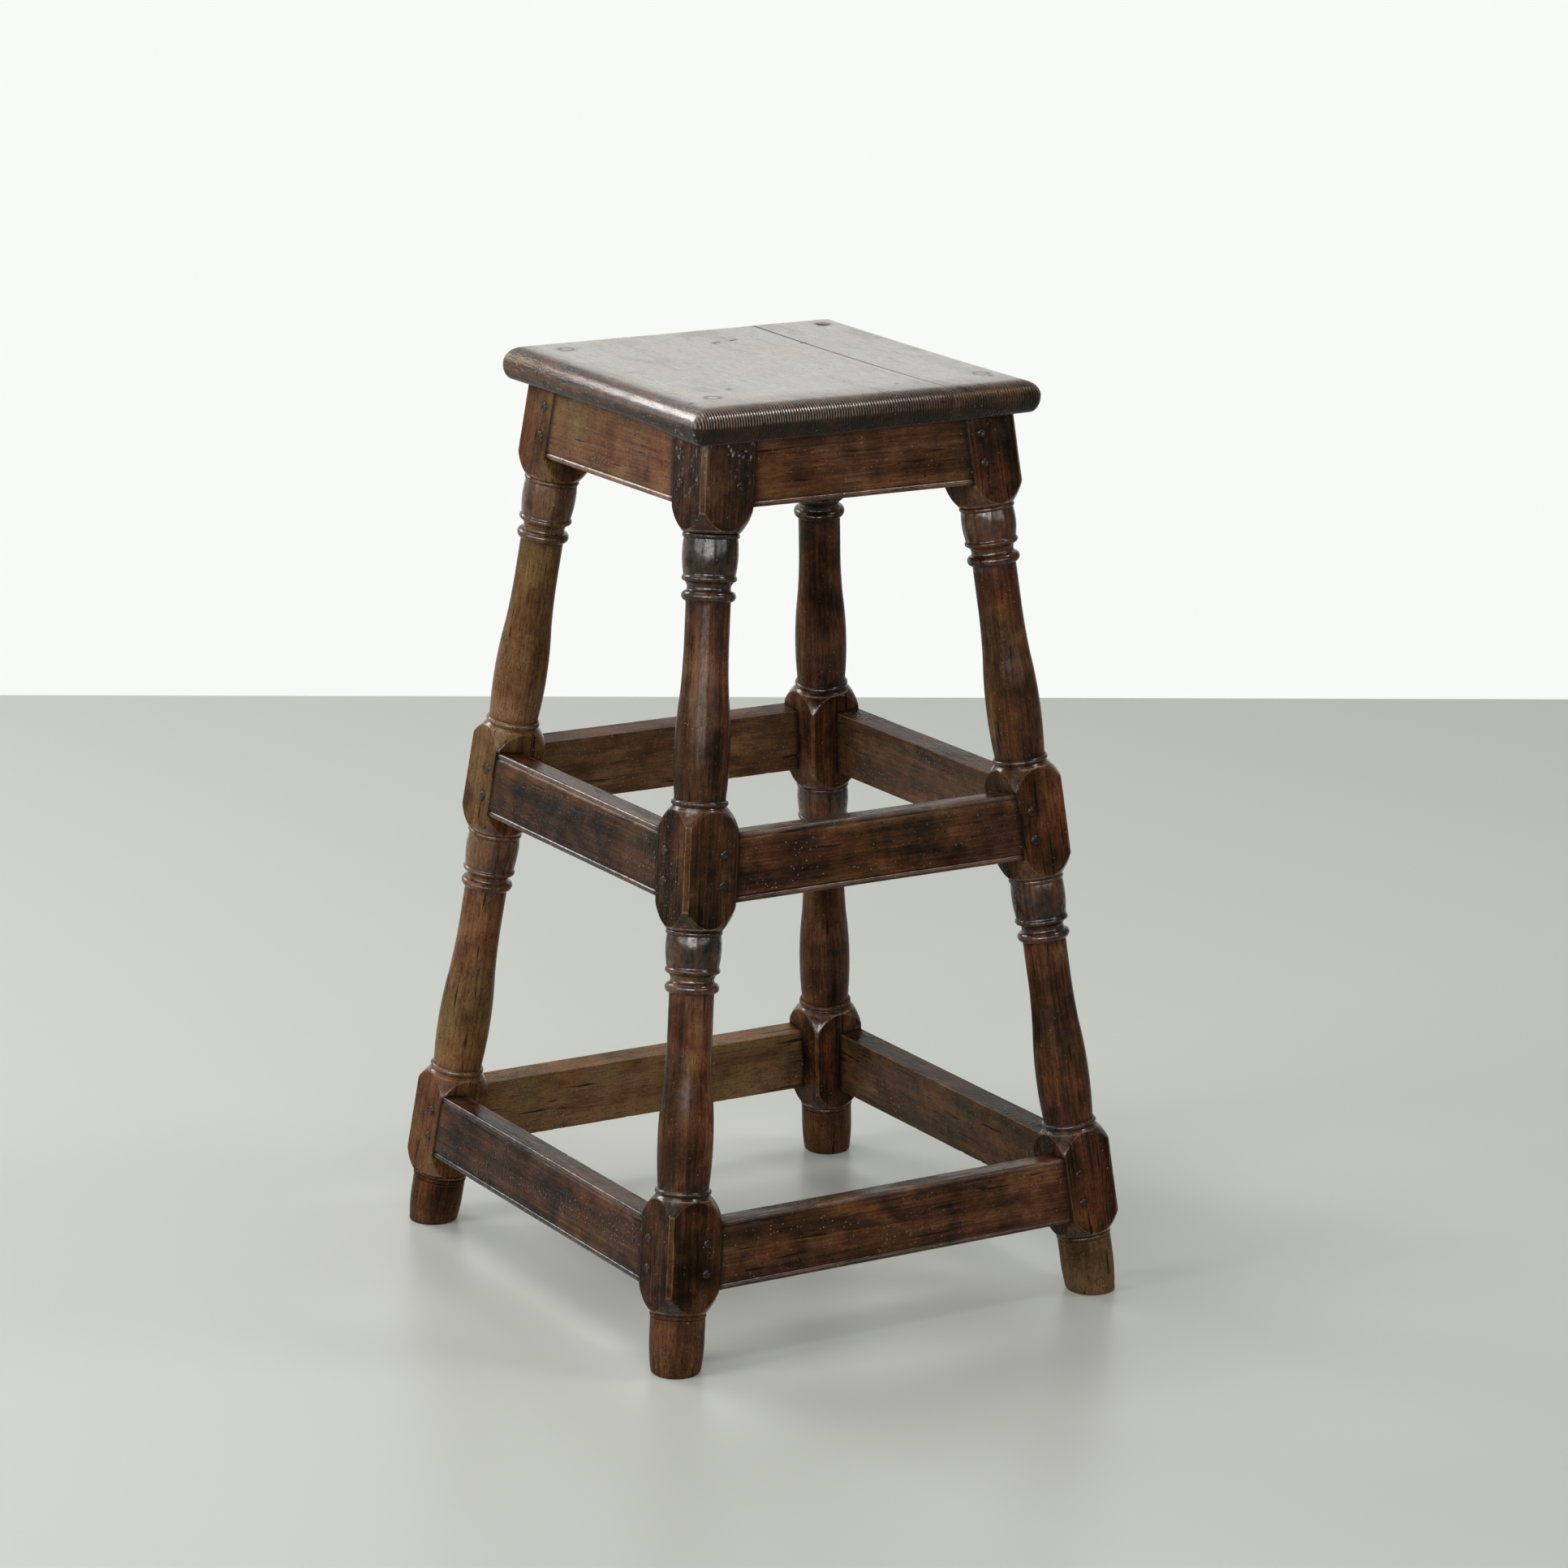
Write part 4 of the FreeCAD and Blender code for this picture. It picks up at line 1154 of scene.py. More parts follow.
def wear_leg(mesh, corner):
    """Marks where a leg is dark, hewn and polished, from each point's height along the stick."""
    along = read_points(mesh)[:, 2]
    spans = list(block_spans())
    in_block = sum((along > start) & (along < end + LENGTHS["ring"] * MM) for start, end in spans)
    in_rings = sum((along > start - RINGS_LENGTH) & (along < start) for start, _ in spans[1:])
    in_foot = along < LENGTHS["foot"] * MM
    held = np.where(in_block + in_rings > 0, 1, np.where(in_foot, FOOT_POLISH, SHAFT_POLISH))
    hewn = np.clip((along - leg_length + HEWN_HEIGHT) / HEWN_HEIGHT + HEWN_MIDDLE, 0, 1)
    hewn = HEWN_SHARES[corner] * hewn
    darker = BLOCK_SHADE * in_block + RINGS_SHADE * in_rings
    write_mark(mesh, "polish", np.maximum(read_mark(mesh, "polish") * held, hewn * HEWN_POLISH))
    write_mark(mesh, "shade", LEG_SHADES[corner] - darker + FOOT_SHADES[corner] * in_foot)
    write_mark(mesh, "hewn", hewn)


print("blocks of a leg, in mm:", [tuple(round(value / MM, 1) for value in span) for span in block_spans()])


# %% Legs
def leg_matrix(corner):
    """Carries a leg from upright at the origin to its foot and its lean."""
    wide, deep = OUTWARD[corner]
    axis = Vector((deep * slope["deep"], -wide * slope["wide"], 0))
    foot = Vector((wide * half_foot["wide"], deep * half_foot["deep"], 0))
    return Matrix.Translation(foot) @ Matrix.Rotation(lean, 4, axis)


def rub_sole(points, centre):
    """Draws the lowest points in towards the leg's centre, so that the rim of the sole is round."""
    low = np.clip(1 - points[:, 2] / SOLE_RIM, 0, 1)
    inset = SOLE_RIM * SOLE_RIM_SHARE * (1 - np.sqrt(1 - low ** 2))
    away = points[:, :2] - np.array(centre[:2])
    distance = np.maximum(np.linalg.norm(away, axis=1), MM)
    points[:, :2] -= away * (inset / distance)[:, None] * (distance > half_stock / 2)[:, None]
    return points


def make_leg(number, corner):
    """One leg in its place. Its number gives it a grain of its own."""
    wide, deep = OUTWARD[corner]
    steps = [
        (lathe, {"Columns": LEG_COLUMNS, "Half Stock": half_stock, "Arris": ARRIS_WEAR,
                 "Outer Wear": OUTER_WEAR, "Outer Turn": math.atan2(deep, wide), "Softness": LEG_SOFTNESS,
                 "Grain Offset": grain_start("leg", number)}),
        worked_by_hand("leg", leg_oak),
    ]
    mesh = run_trees("leg_" + corner, turned_mesh(corner), steps)
    wear_leg(mesh, corner)
    matrix = leg_matrix(corner)
    points = rub_sole(carried(read_points(mesh), matrix), matrix.translation)
    write_points(mesh, points)
    write_mark(mesh, "soil", dirt_and_shade_near_joints(points, corner))
    bare = np.clip(BARE_START - points[:, 2] / BARE_HEIGHT, 0, 1)
    write_mark(mesh, "bare", BARE_FEET[corner] * bare)
    close_mesh(mesh, floor=0, ceiling=frame_height)
    return join_frame("turned_leg_" + corner, mesh, "leg_oak", "leg_" + corner)


for number, corner in enumerate(CORNERS):
    make_leg(number, corner)

# %% [markdown]
# ## Rails
# All twelve rails come from two sections. A stretcher has a rounded edge run along the top and the bottom
# of its face, and a frieze rail has one along the bottom only. A box with bevelled edges would be
# quicker, but a bevel has no step beside it. So the section is drawn as corners, filled in and rubbed
# smooth, and the moulding plane's tree carries it along. Only the rounded edges are polished, where a
# cloth and shoes pass.

# %% Sections of the rails
MOULD_WIDTH = 4.6 * MM
MOULD_DROP = 1.3 * MM
QUIRK_WIDTH = 1.6 * MM
RAIL_STATION = 2.1 * MM
SECTION_SPACING = 0.9 * MM
FINE_SPACING_SHARE = 0.6
SECTION_SOFTENING = 0.28
FULL_CREST = 0.12 * MM
FULL_HOLLOW = 0.08 * MM
BEAD_POLISH = 0.85


def section_places(place):
    """The corners of a rail's section, as pairs of inward and upward."""
    foot, top, drop = place.foot, place.top, MOULD_DROP
    places = [
        (drop, foot, (0, foot + MOULD_WIDTH / 2)),
        (drop, foot + MOULD_WIDTH),
        (0, foot + MOULD_WIDTH + QUIRK_WIDTH),
    ]
    if place.level == "frieze":
        places.append((0, top))
    else:
        places += [
            (0, top - MOULD_WIDTH - QUIRK_WIDTH),
            (drop, top - MOULD_WIDTH, (0, top - MOULD_WIDTH / 2)),
            (drop, top),
        ]
    return places + [(RAIL_THICKNESS, top), (RAIL_THICKNESS, foot)]


def section_mesh(place):
    """The section of a rail as points, with its crests and hollows marked."""
    places = section_places(place)
    points = []
    polish = []
    for spot, following in zip(places, places[1:] + places[:1]):
        small = math.dist(spot[:2], following[:2]) < 2 * MOULD_WIDTH
        spacing = SECTION_SPACING * (FINE_SPACING_SHARE if small else 1)
        if len(spot) == 3:
            points += arc_through(spot[:2], spot[2], following[:2], spacing)
        else:
            points += line_between(spot[:2], following[:2], spacing)
        polish += [BEAD_POLISH * (len(spot) == 3)] * (len(points) - len(polish))
    points = np.array(points)
    rounded = softened(points, SECTION_SOFTENING, closed=True)
    middle = rounded.mean(axis=0)
    outwards = points - middle
    outwards /= np.linalg.norm(outwards, axis=1)[:, None]
    worn = ((points - rounded) * outwards).sum(axis=1)
    spots = np.stack([np.zeros(len(rounded)), rounded[:, 0], rounded[:, 1]], 1)
    return new_mesh("section", spots, crest=np.clip(worn / FULL_CREST, 0, 1),
                    hollow=np.clip(-worn / FULL_HOLLOW, 0, 1), polish=polish)


print("points in a section:", len(section_mesh(rail_places["low", "front"]).vertices))

# %% Rails
INNER_BARE = 0.25
INNER_MARGIN = 1 * MM
# How much lighter each rail is, or darker where the number is negative, partly its own tone and partly
# painted light and shade.
RAIL_SHADES = {
    ("frieze", "front"): 0.07, ("frieze", "right"): 0.02, ("frieze", "back"): 0.02, ("frieze", "left"): 0.21,
    ("mid", "front"): 0, ("mid", "right"): 0.02, ("mid", "back"): 0.12, ("mid", "left"): 0,
    ("low", "front"): 0.03, ("low", "right"): -0.08, ("low", "back"): 0.34, ("low", "left"): -0.04,
}


def make_rail(number, side, level):
    """One rail in its place. Its number gives it a grain of its own."""
    place = rail_places[level, side]
    half_length = place.from_leg(-half_stock + INTO_LEG, 0)
    steps = [
        (rail_tree, {"Stations": round(2 * half_length / RAIL_STATION), "Half Length": half_length,
                     "Spread": place.run, "Grain Offset": grain_start("rail", number)}),
        worked_by_hand("rail", rail_oak),
    ]
    node = ("frieze_rail_" if level == "frieze" else level + "_stretcher_") + side
    mesh = run_trees(node, section_mesh(place), steps)
    points = carried(read_points(mesh), place.matrix)
    write_points(mesh, points)
    write_mark(mesh, "soil", dirt_and_shade_near_joints(points))
    inward = carried(points, place.matrix.inverted())[:, 1]
    write_mark(mesh, "bare", INNER_BARE * (inward > RAIL_THICKNESS - INNER_MARGIN))
    write_mark(mesh, "shade", np.full(len(points), RAIL_SHADES[level, side]))
    close_mesh(mesh, ceiling=frame_height if level == "frieze" else None)
    return join_frame("moulded_" + node, mesh, "rail_oak", node)


for number, (level, side) in enumerate(rail_places):
    make_rail(number, side, level)

# %% [markdown]
# ## Seat
# The seat is two oak boards laid side by side, their outer edges rounded to a nose. With age they have
# lifted at the back, hollowed a little in the middle, and now hang a lip over the frame at the front and
# the left. A box with a Bevel modifier gives an even edge but not this one, which is long and flat above
# and short below. So a board is made as two sheets of points, its top and its underside, that meet along
# the widest line of the nose. The lines of points crowd together at the edges, so that the nose is as
# smooth as the flat.

# %% Sizes of the seat
OVERHANG = {"wide": 17 * MM, "deep": 19 * MM}
NARROW_BOARD = 88 * MM
NOSE_RISE = 11 * MM
NOSE_TOP_RUN = 17 * MM
NOSE_FOOT_RUN = 9 * MM
NOSE_LINES = 17
CORNER_RADIUS = 10 * MM
JOINT_GAP = 0.12 * MM
JOINT_ROUND = 0.7 * MM
JOINT_TURNS = [0, 30, 60, 90]
CORNER_BLEND = 3
BOARD_SPACING = 1.4 * MM
SEAT_WELD = 0.005 * MM
half_seat = {way: TOP_SPREAD / 2 + half_stock + OVERHANG[way] for way in ("wide", "deep")}
joint_line = half_seat["wide"] - NARROW_BOARD
print("seat: %.0f by %.0f mm" % tuple(2 * half / MM for half in half_seat.values()))


# %% Lines across a board
def nose_lines(edge, inward):
    """Lines of points in from a nose: where each lies, and its drop and its rise as shares."""
    turns = np.radians(np.linspace(0, 90, NOSE_LINES))
    depth = NOSE_TOP_RUN * (1 - np.cos(turns))
    drop = 1 - np.sin(turns)
    foot = np.clip(1 - depth / NOSE_FOOT_RUN, 0, 1)
    rise = 1 - np.sqrt(1 - foot ** 2)
    return edge + inward * depth, drop, rise


def joint_lines(edge, inward):
    """Lines of points in from the joint of the boards, down its upright wall and round its arris."""
    turns = np.radians(JOINT_TURNS)
    depth = np.concatenate([[0, 0], JOINT_ROUND * (1 - np.cos(turns))])
    round_drop = JOINT_ROUND * (1 - np.sin(turns))
    drop = np.concatenate([[1, 0.5], round_drop / (BOARD_THICKNESS - NOSE_RISE)])
    rise = np.concatenate([[1, 0.5], round_drop / NOSE_RISE])
    return edge + inward * depth, drop, rise


def board_lines(first, last):
    """All lines across a board, from one edge's lines to the other's."""
    low, high = first[0][-1], last[0][-1]
    count = round(abs(high - low) / BOARD_SPACING)
    between = np.linspace(low, high, count + 1)[1:-1]
    flat = np.zeros(len(between))
    return [np.concatenate([a, b, c[::-1]]) for a, b, c in zip(first, (between, flat, flat), last)]


def together(first, second):
    """How far two drops go together, smoothly, as a share that reaches one where either does."""
    a = first[:, None] ** CORNER_BLEND
    b = second[None, :] ** CORNER_BLEND
    return (a + b - a * b) ** (1 / CORNER_BLEND)


print("lines in a nose:", len(nose_lines(0, 1)[0]))


# %% Age of the boards
BACK_LIFT = {"left": 3.5 * MM, "right": 6.3 * MM}
LIFT_CURVE = 1.5
WORN_DIP = 0.8 * MM
LIP_DROP = 5 * MM
LIP_RUN = 7 * MM
LIP_REACH = 130 * MM
LIP_END_SHARE = 0.45


def across_seat(place, way):
    """How far a place lies across the seat, from zero at the left or the front to one."""
    return np.clip((place / half_seat[way] + 1) / 2, 0, 1)


def lip_drop(x, y):
    """How far the edge of the seat hangs below the top of the frame, in a smooth step past its faces."""
    right = across_seat(x, "wide")
    front_out = np.clip((-y - TOP_SPREAD / 2 - half_stock) / LIP_RUN, 0, 1)
    left_out = np.clip((-x - TOP_SPREAD / 2 - half_stock) / LIP_RUN, 0, 1)
    along = np.clip(1 - (y + half_seat["deep"]) / LIP_REACH, 0, 1)
    drop = np.maximum(front_out * (1 - right + right * LIP_END_SHARE), left_out * along)
    return LIP_DROP * drop * drop * (3 - 2 * drop)


def back_lift(x, y):
    """How far the top has risen at a place, and how far it is worn down."""
    right = across_seat(x, "wide")
    lift = BACK_LIFT["left"] * (1 - right) + BACK_LIFT["right"] * right
    lift = lift * across_seat(y, "deep") ** LIFT_CURVE
    dip = WORN_DIP * np.cos(x / half_seat["wide"] * math.pi / 2) * np.cos(y / half_seat["deep"] * math.pi / 2)
    return lift - dip


print("lift of the back corners, in mm:", [
    round(back_lift(side * half_seat["wide"], half_seat["deep"]) / MM, 1) for side in (-1, 1)])


# %% Shape of a board
# The crest of the edge rises where the top turns down, and fades again down the nose.
EDGE_CREST_RISE = 4
EDGE_CREST_START = 0.4
NOSE_CREST_START = 1.6
NOSE_CREST_FALL = 1.2
EDGE_CREST_SHARE = 0.6


def rounded_corners(x, y):
    """Plan points with the outer corners of the seat drawn in to a round."""
    for sx in (-1, 1):
        for sy in (-1, 1):
            away_x = sx * x - (half_seat["wide"] - CORNER_RADIUS)
            away_y = sy * y - (half_seat["deep"] - CORNER_RADIUS)
            inside = (away_x > 0) & (away_y > 0)
            shrink = np.maximum(away_x, away_y) / np.maximum(np.hypot(away_x, away_y), HAIR)
            x = np.where(inside, sx * (half_seat["wide"] - CORNER_RADIUS + away_x * shrink), x)
            y = np.where(inside, sy * (half_seat["deep"] - CORNER_RADIUS + away_y * shrink), y)
    return x, y


def board_mesh(number, name, first, last):
    """A board between two edges, each given as its lines."""
    x_lines, x_drop, x_rise = board_lines(first, last)
    y_lines, y_drop, y_rise = board_lines(
        nose_lines(-half_seat["deep"], 1), nose_lines(half_seat["deep"], -1))
    x, y = np.meshgrid(x_lines, y_lines, indexing="ij")
    drop = together(x_drop, y_drop)
    rise = together(x_rise, y_rise)
    x, y = rounded_corners(x, y)
    top = BOARD_THICKNESS - (BOARD_THICKNESS - NOSE_RISE) * drop
    under = NOSE_RISE * rise
    top, under = (height * (1 + back_lift(x, y) / BOARD_THICKNESS) for height in (top, under))
    under = under - lip_drop(x, y) * (1 - under / NOSE_RISE)
    sheets = [np.stack([x, y, frame_height + height], -1).reshape(-1, 3) for height in (top, under)]
    points = np.concatenate(sheets)

    columns = len(y_lines)
    corner = (np.arange(len(x_lines) - 1)[:, None] * columns + np.arange(columns - 1)).ravel()
    face = np.stack([corner, corner + columns, corner + columns + 1, corner + 1], 1)
    faces = np.concatenate([face, face[:, ::-1] + len(sheets[0])])
    steepness = np.concatenate([drop.ravel(), np.zeros(rise.size)])
    crest = np.clip(steepness * EDGE_CREST_RISE - EDGE_CREST_START, 0, 1)
    crest = crest * np.clip(NOSE_CREST_START - steepness * NOSE_CREST_FALL, 0, 1) * EDGE_CREST_SHARE
    mesh = new_mesh(name, points, faces, crest=crest, hollow=np.zeros(len(points)),
                    grain=points[:, [0, 2, 1]] + grain_start("seat", number))
    shape = bmesh.new()
    shape.from_mesh(mesh)
    bmesh.ops.remove_doubles(shape, verts=shape.verts, dist=SEAT_WELD)
    bmesh.ops.recalc_face_normals(shape, faces=shape.faces)
    shape.to_mesh(mesh)
    shape.free()
    return mesh


print("lines from front to back:", len(board_lines(nose_lines(-half_seat["deep"], 1),
                                                   nose_lines(half_seat["deep"], -1))[0]))

# %% [markdown]
# A seat is worn by those who sit on it. Its top is pale and smooth, partly from wear and partly as a painted
# sheen, but for a darker border at the front and the left, where the worn place and the painted sheen fade.
# Its nose shines most near the front left corner, where hands take hold. The underside of its nose is dark as
# painted shade, and dirt lies round the pegs, the joint and old nail holes. All this could be painted on a
# map, but marks at the points need no map and follow the sizes.

# %% Dirt and painted shade of the seat
SEAT_PEG_RADIUS = 6 * MM
# How far out from a leg's centre each peg stands, along X and along Y, in shares of half the stock.
SEAT_PEG_SHARES = {
    "front_right": (0.5, -0.33),
    "back_right": (0.46, 0.42),
    "back_left": (0, 0.1),
    "front_left": (-0.04, -0.29),
}
# Nail marks in the top: where each lies along X and along Y, and its size.
SEAT_MARKS = [(x * MM, y * MM, reach * MM) for x, y, reach in (
    (-88.6, -86.4, 1.8), (-146.1, -126.9, 2), (44.7, -123.1, 1.2), (72.9, 65.8, 2.2), (132.8, -124.3, 1.8),
    (5, 96, 1.6), (9, 97.5, 1.6), (24, 100, 1.6), (28, 101.5, 1.6))]
JOINT_SOIL_REACH = 0.7 * MM
SEAT_PEG_SOIL_REACH = 1.8 * MM
MARK_SOIL_REACH = 0.8 * MM
UNDER_NOSE_SHADE = 0.75


def seat_peg_spots():
    """Where the seat's pegs stand, in plan."""
    for corner in CORNERS:
        yield tuple(out * (TOP_SPREAD / 2 + share * half_stock)
                    for out, share in zip(OUTWARD[corner], SEAT_PEG_SHARES[corner]))


def seat_dirt_and_shade(points):
    """Dirt along the joint, round the pegs and in the nail marks, and painted shade under the nose."""
    def near(distances, reach):
        return np.exp(-np.min(distances, axis=0) / reach)

    def away(x, y):
        return np.hypot(points[:, 0] - x, points[:, 1] - y)

    soil = near([np.abs(points[:, 0] - joint_line)], JOINT_SOIL_REACH)
    rims = [np.abs(away(*spot) - SEAT_PEG_RADIUS) for spot in seat_peg_spots()]
    soil = np.maximum(soil, near(rims, SEAT_PEG_SOIL_REACH))
    marks = [np.maximum(away(x, y) - reach, 0) for x, y, reach in SEAT_MARKS]
    soil = np.maximum(soil, near(marks, MARK_SOIL_REACH))
    # Painted shade on the underside, below the widest line of the nose.
    under = np.clip((frame_height + NOSE_RISE - points[:, 2]) / (NOSE_RISE / 2), 0, 1)
    return np.maximum(soil, under * UNDER_NOSE_SHADE)


print("nail marks:", len(SEAT_MARKS))

# %% Wear of a board
END_STEEPNESS = 2.2
END_START = 0.3
WORN_AND_SHEEN_TOP = 0.85
FLAT_START_SHARE = 0.94
FLAT_RISE_SHARE = 0.05
FADE_REACH = {"wide": 26 * MM, "deep": 46 * MM}
FADE_SHARE = 0.25
FADE_CURVE = 1.5
LEFT_GLOSS_CURVE = 2.5
FRONT_GLOSS_SHARES = (0.1, 0.6)
EDGE_ROUGHNESS = 0.7
ROUGH_BACK_START = 0.35
ROUGH_FOOT = 1.5


def wear_board(mesh):
    """Marks where a board shows end grain, and where it is bare, polished and rough."""
    points = read_points(mesh)
    normals = np.zeros(len(mesh.vertices) * 3, dtype=np.float32)
    mesh.vertices.foreach_get("normal", normals)
    normals = normals.reshape(-1, 3)
    facing_left, facing_front = (np.clip(-normals[:, axis], 0, 1) for axis in (0, 1))
    write_mark(mesh, "end", np.clip(np.abs(normals[:, 1]) * END_STEEPNESS - END_START, 0, 1))

    # The top is pale where it is worn and as a painted sheen, and both fade towards the front and the left
    # edges.
    fade = [np.clip((points[:, axis] + half_seat[way]) / FADE_REACH[way], 0, 1)
            for axis, way in enumerate(("wide", "deep"))]
    fade = FADE_SHARE + (1 - FADE_SHARE) * np.min(fade, axis=0) ** FADE_CURVE
    top = np.clip((normals[:, 2] - FLAT_START_SHARE) / FLAT_RISE_SHARE, 0, 1) * fade
    write_mark(mesh, "bare", top * WORN_AND_SHEEN_TOP)

    left_edge = facing_left * (1 - across_seat(points[:, 1], "deep")) ** LEFT_GLOSS_CURVE
    least, middle = FRONT_GLOSS_SHARES
    front_edge = facing_front * np.clip(middle - points[:, 0] / half_seat["wide"], least, 1)
    edge = np.maximum(left_edge, front_edge) * (normals[:, 2] > 0)
    write_mark(mesh, "polish", np.maximum(top, edge))

    low = np.clip((frame_height + NOSE_RISE * ROUGH_FOOT - points[:, 2]) / NOSE_RISE, 0, 1)
    towards_back = np.clip(ROUGH_BACK_START + points[:, 1] / half_seat["deep"], 0, 1)
    write_mark(mesh, "hewn", facing_left * np.maximum(low, towards_back) * EDGE_ROUGHNESS)


def make_board(number, name, first, last):
    """One board in its place, worked by hand, soiled, darkened underneath as painted shade, and worn, with a
    painted sheen on its top.
    """
    mesh = run_trees(name, board_mesh(number, name, first, last), [worked_by_hand("seat", seat_oak)])
    write_mark(mesh, "soil", seat_dirt_and_shade(read_points(mesh)))
    write_mark(mesh, "shade", np.zeros(len(mesh.vertices)))
    close_mesh(mesh)
    wear_board(mesh)
    return join_frame("worn_" + name, mesh, "seat_oak", name)


# %% [markdown]
# ## Pegs
# A peg is a splinter of oak, shaved to a rough taper and driven home, so no two heads are alike. A round
# cylinder for each would be quicker, but then all heads would be the same. So one peg is lathed with few
# columns, and a tree sets it on every joint with its own tilt, turn, size and depth, drawn by chance from
# a seed. The seat's pegs are made alike, only larger and flatter.

# %% One peg
PEG_LENGTH = 28 * MM
PEG_COLUMNS = 24
PEG_FIT_SHARE = 1.04
PEG_DOME = 1.2 * MM
SEAT_PEG_DOME = 0.6 * MM
TIP_SHARE = 0.8
MIDDLE_SHARE = 0.92
RIM_SHARE = 0.45
RIM_POINTS = 7
DISH_SHARES = (0.62, 0.35, 0)
DISH_DEPTH_SHARE = 0.3
PEG_ARRIS_SHARE = 0.5
PEG_SOFTNESS_SHARE = 0.1


def peg_outline(radius, dome):
    """A peg along Z with its head at zero, as points of its outline from the tip up."""
    side = [(0, -PEG_LENGTH), (radius * TIP_SHARE, -PEG_LENGTH),
            (radius * MIDDLE_SHARE, -PEG_LENGTH / 2), (radius, -2 * dome)]
    rim = [(radius * (1 - RIM_SHARE + RIM_SHARE * math.cos(turn)), dome * (math.sin(turn) - 1))
           for turn in np.radians(np.linspace(0, 90, RIM_POINTS))]
    dish = [(radius * share, dome * DISH_DEPTH_SHARE * (share - 1)) for share in DISH_SHARES]
    places = np.array(side + rim + dish)
    points = np.stack([places[:, 0], np.zeros(len(places)), places[:, 1]], 1)
    return new_mesh("peg_outline", points, crest=np.zeros(len(places)), hollow=np.zeros(len(places)))


def peg_shape(name, radius, dome):
    """One peg as an object, kept out of sight, for the tree to copy."""
    steps = [
        (lathe, {"Columns": PEG_COLUMNS, "Half Stock": radius, "Arris": radius * PEG_ARRIS_SHARE,
                 "Outer Wear": 0, "Outer Turn": 0, "Softness": radius * PEG_SOFTNESS_SHARE,
                 "Grain Offset": grain_start("peg")}),
        worked_by_hand("peg", peg_oak),
    ]
    return bpy.data.objects.new(name, run_trees(name, peg_outline(radius, dome), steps))


rail_peg = peg_shape("rail_peg", PEG_RADIUS * PEG_FIT_SHARE, PEG_DOME)
seat_peg = peg_shape("seat_peg", SEAT_PEG_RADIUS * PEG_FIT_SHARE, SEAT_PEG_DOME)
print("points of a peg:", len(rail_peg.data.vertices))

# %% Peg tree
PEG_TILT = 0.07
PEG_SIZES = (0.9, 1.08)
PEG_DEPTHS = (-0.9 * MM, 0.2 * MM)


def build_peg_tree():
    tree, (spots, peg, seed, material) = new_tree(
        "driven pegs", ("Peg", "Object"), ("Seed", "Int"), ("Material", "Material"))
    index = add(tree, "GeometryNodeInputIndex")

    def chance(low, high, salt):
        """A number that differs from peg to peg, and from salt to salt."""
        settings = {"data_type": "FLOAT"}
        inputs = {2: low, 3: high, "ID": index + salt, "Seed": seed}
        return add(tree, "FunctionNodeRandomValue", settings, inputs, 1)

    facing = add(tree, "FunctionNodeAlignRotationToVector", {"axis": "Z"},
                 {"Vector": kept(tree, "facing", "FLOAT_VECTOR")})
    shape = add(tree, "GeometryNodeObjectInfo", None, {"Object": peg}, "Geometry")
    pegs = add(tree, "GeometryNodeInstanceOnPoints", None,
               {"Points": spots, "Instance": shape, "Rotation": facing})
    tilt = (-PEG_TILT, PEG_TILT)
    spin = joined_parts(tree, chance(*tilt, 1), chance(*tilt, 2), chance(0, 2 * math.pi, 3))
    pegs = add(tree, "GeometryNodeRotateInstances", None, {"Instances": pegs, "Rotation": spin})
    size = joined_parts(tree, chance(*PEG_SIZES, 4), chance(*PEG_SIZES, 5), 1)
    pegs = add(tree, "GeometryNodeScaleInstances", None, {"Instances": pegs, "Scale": size})
    depth = joined_parts(tree, 0, 0, chance(*PEG_DEPTHS, 6))
    pegs = add(tree, "GeometryNodeTranslateInstances", None, {"Instances": pegs, "Translation": depth})
    return end_tree(tree, pegs, material)


peg_tree = build_peg_tree()
print("driven pegs:", len(peg_tree.nodes), "nodes")

# %% Pegs of the joints
PEG_PROUD = 1.2 * MM
PEG_POLISH = 0.6


def make_pegs(number, node, shape, spots, facings):
    """The pegs of one group in their places. Its number is the seed of their differences."""
    points = new_mesh(node + "_spots", spots, facing=facings)
    mesh = run_trees(node, points, [(peg_tree, {"Peg": shape, "Seed": number, "Material": peg_oak})])
    for mark, value in (("soil", 0), ("bare", 0), ("shade", 0), ("polish", PEG_POLISH)):
        write_mark(mesh, mark, np.full(len(mesh.vertices), value))
    close_mesh(mesh)
    return join_frame("shaved_" + node, mesh, "peg_oak", node)


peg_groups = {(corner, level): [] for corner in CORNERS for level in LEVELS}
for (level, side), place in rail_places.items():
    facing = place.matrix.to_3x3() @ Vector((0, -1, 0))
    for corner, (x, z) in peg_spots(place):
        head = place.matrix @ Vector((x, -RAIL_SETBACK - PEG_PROUD, z))
        peg_groups[corner, level].append((head, facing))
for number, ((corner, level), pegs) in enumerate(peg_groups.items()):
    make_pegs(number, "pegs_%s_%s" % (corner, level), rail_peg, *zip(*pegs))

# %% Pegs and boards of the seat
SEAT_PEG_PROUD = 0.5 * MM

seat_spots = [(x, y, frame_height + BOARD_THICKNESS + back_lift(x, y) + SEAT_PEG_PROUD)
              for x, y in seat_peg_spots()]
make_pegs(len(peg_groups), "seat_pegs", seat_peg, seat_spots, [(0, 0, 1)] * len(seat_spots))
make_board(0, "seat_board_wide", nose_lines(-half_seat["wide"], 1), joint_lines(joint_line - JOINT_GAP, -1))
make_board(1, "seat_board_narrow", joint_lines(joint_line + JOINT_GAP, 1), nose_lines(half_seat["wide"], -1))

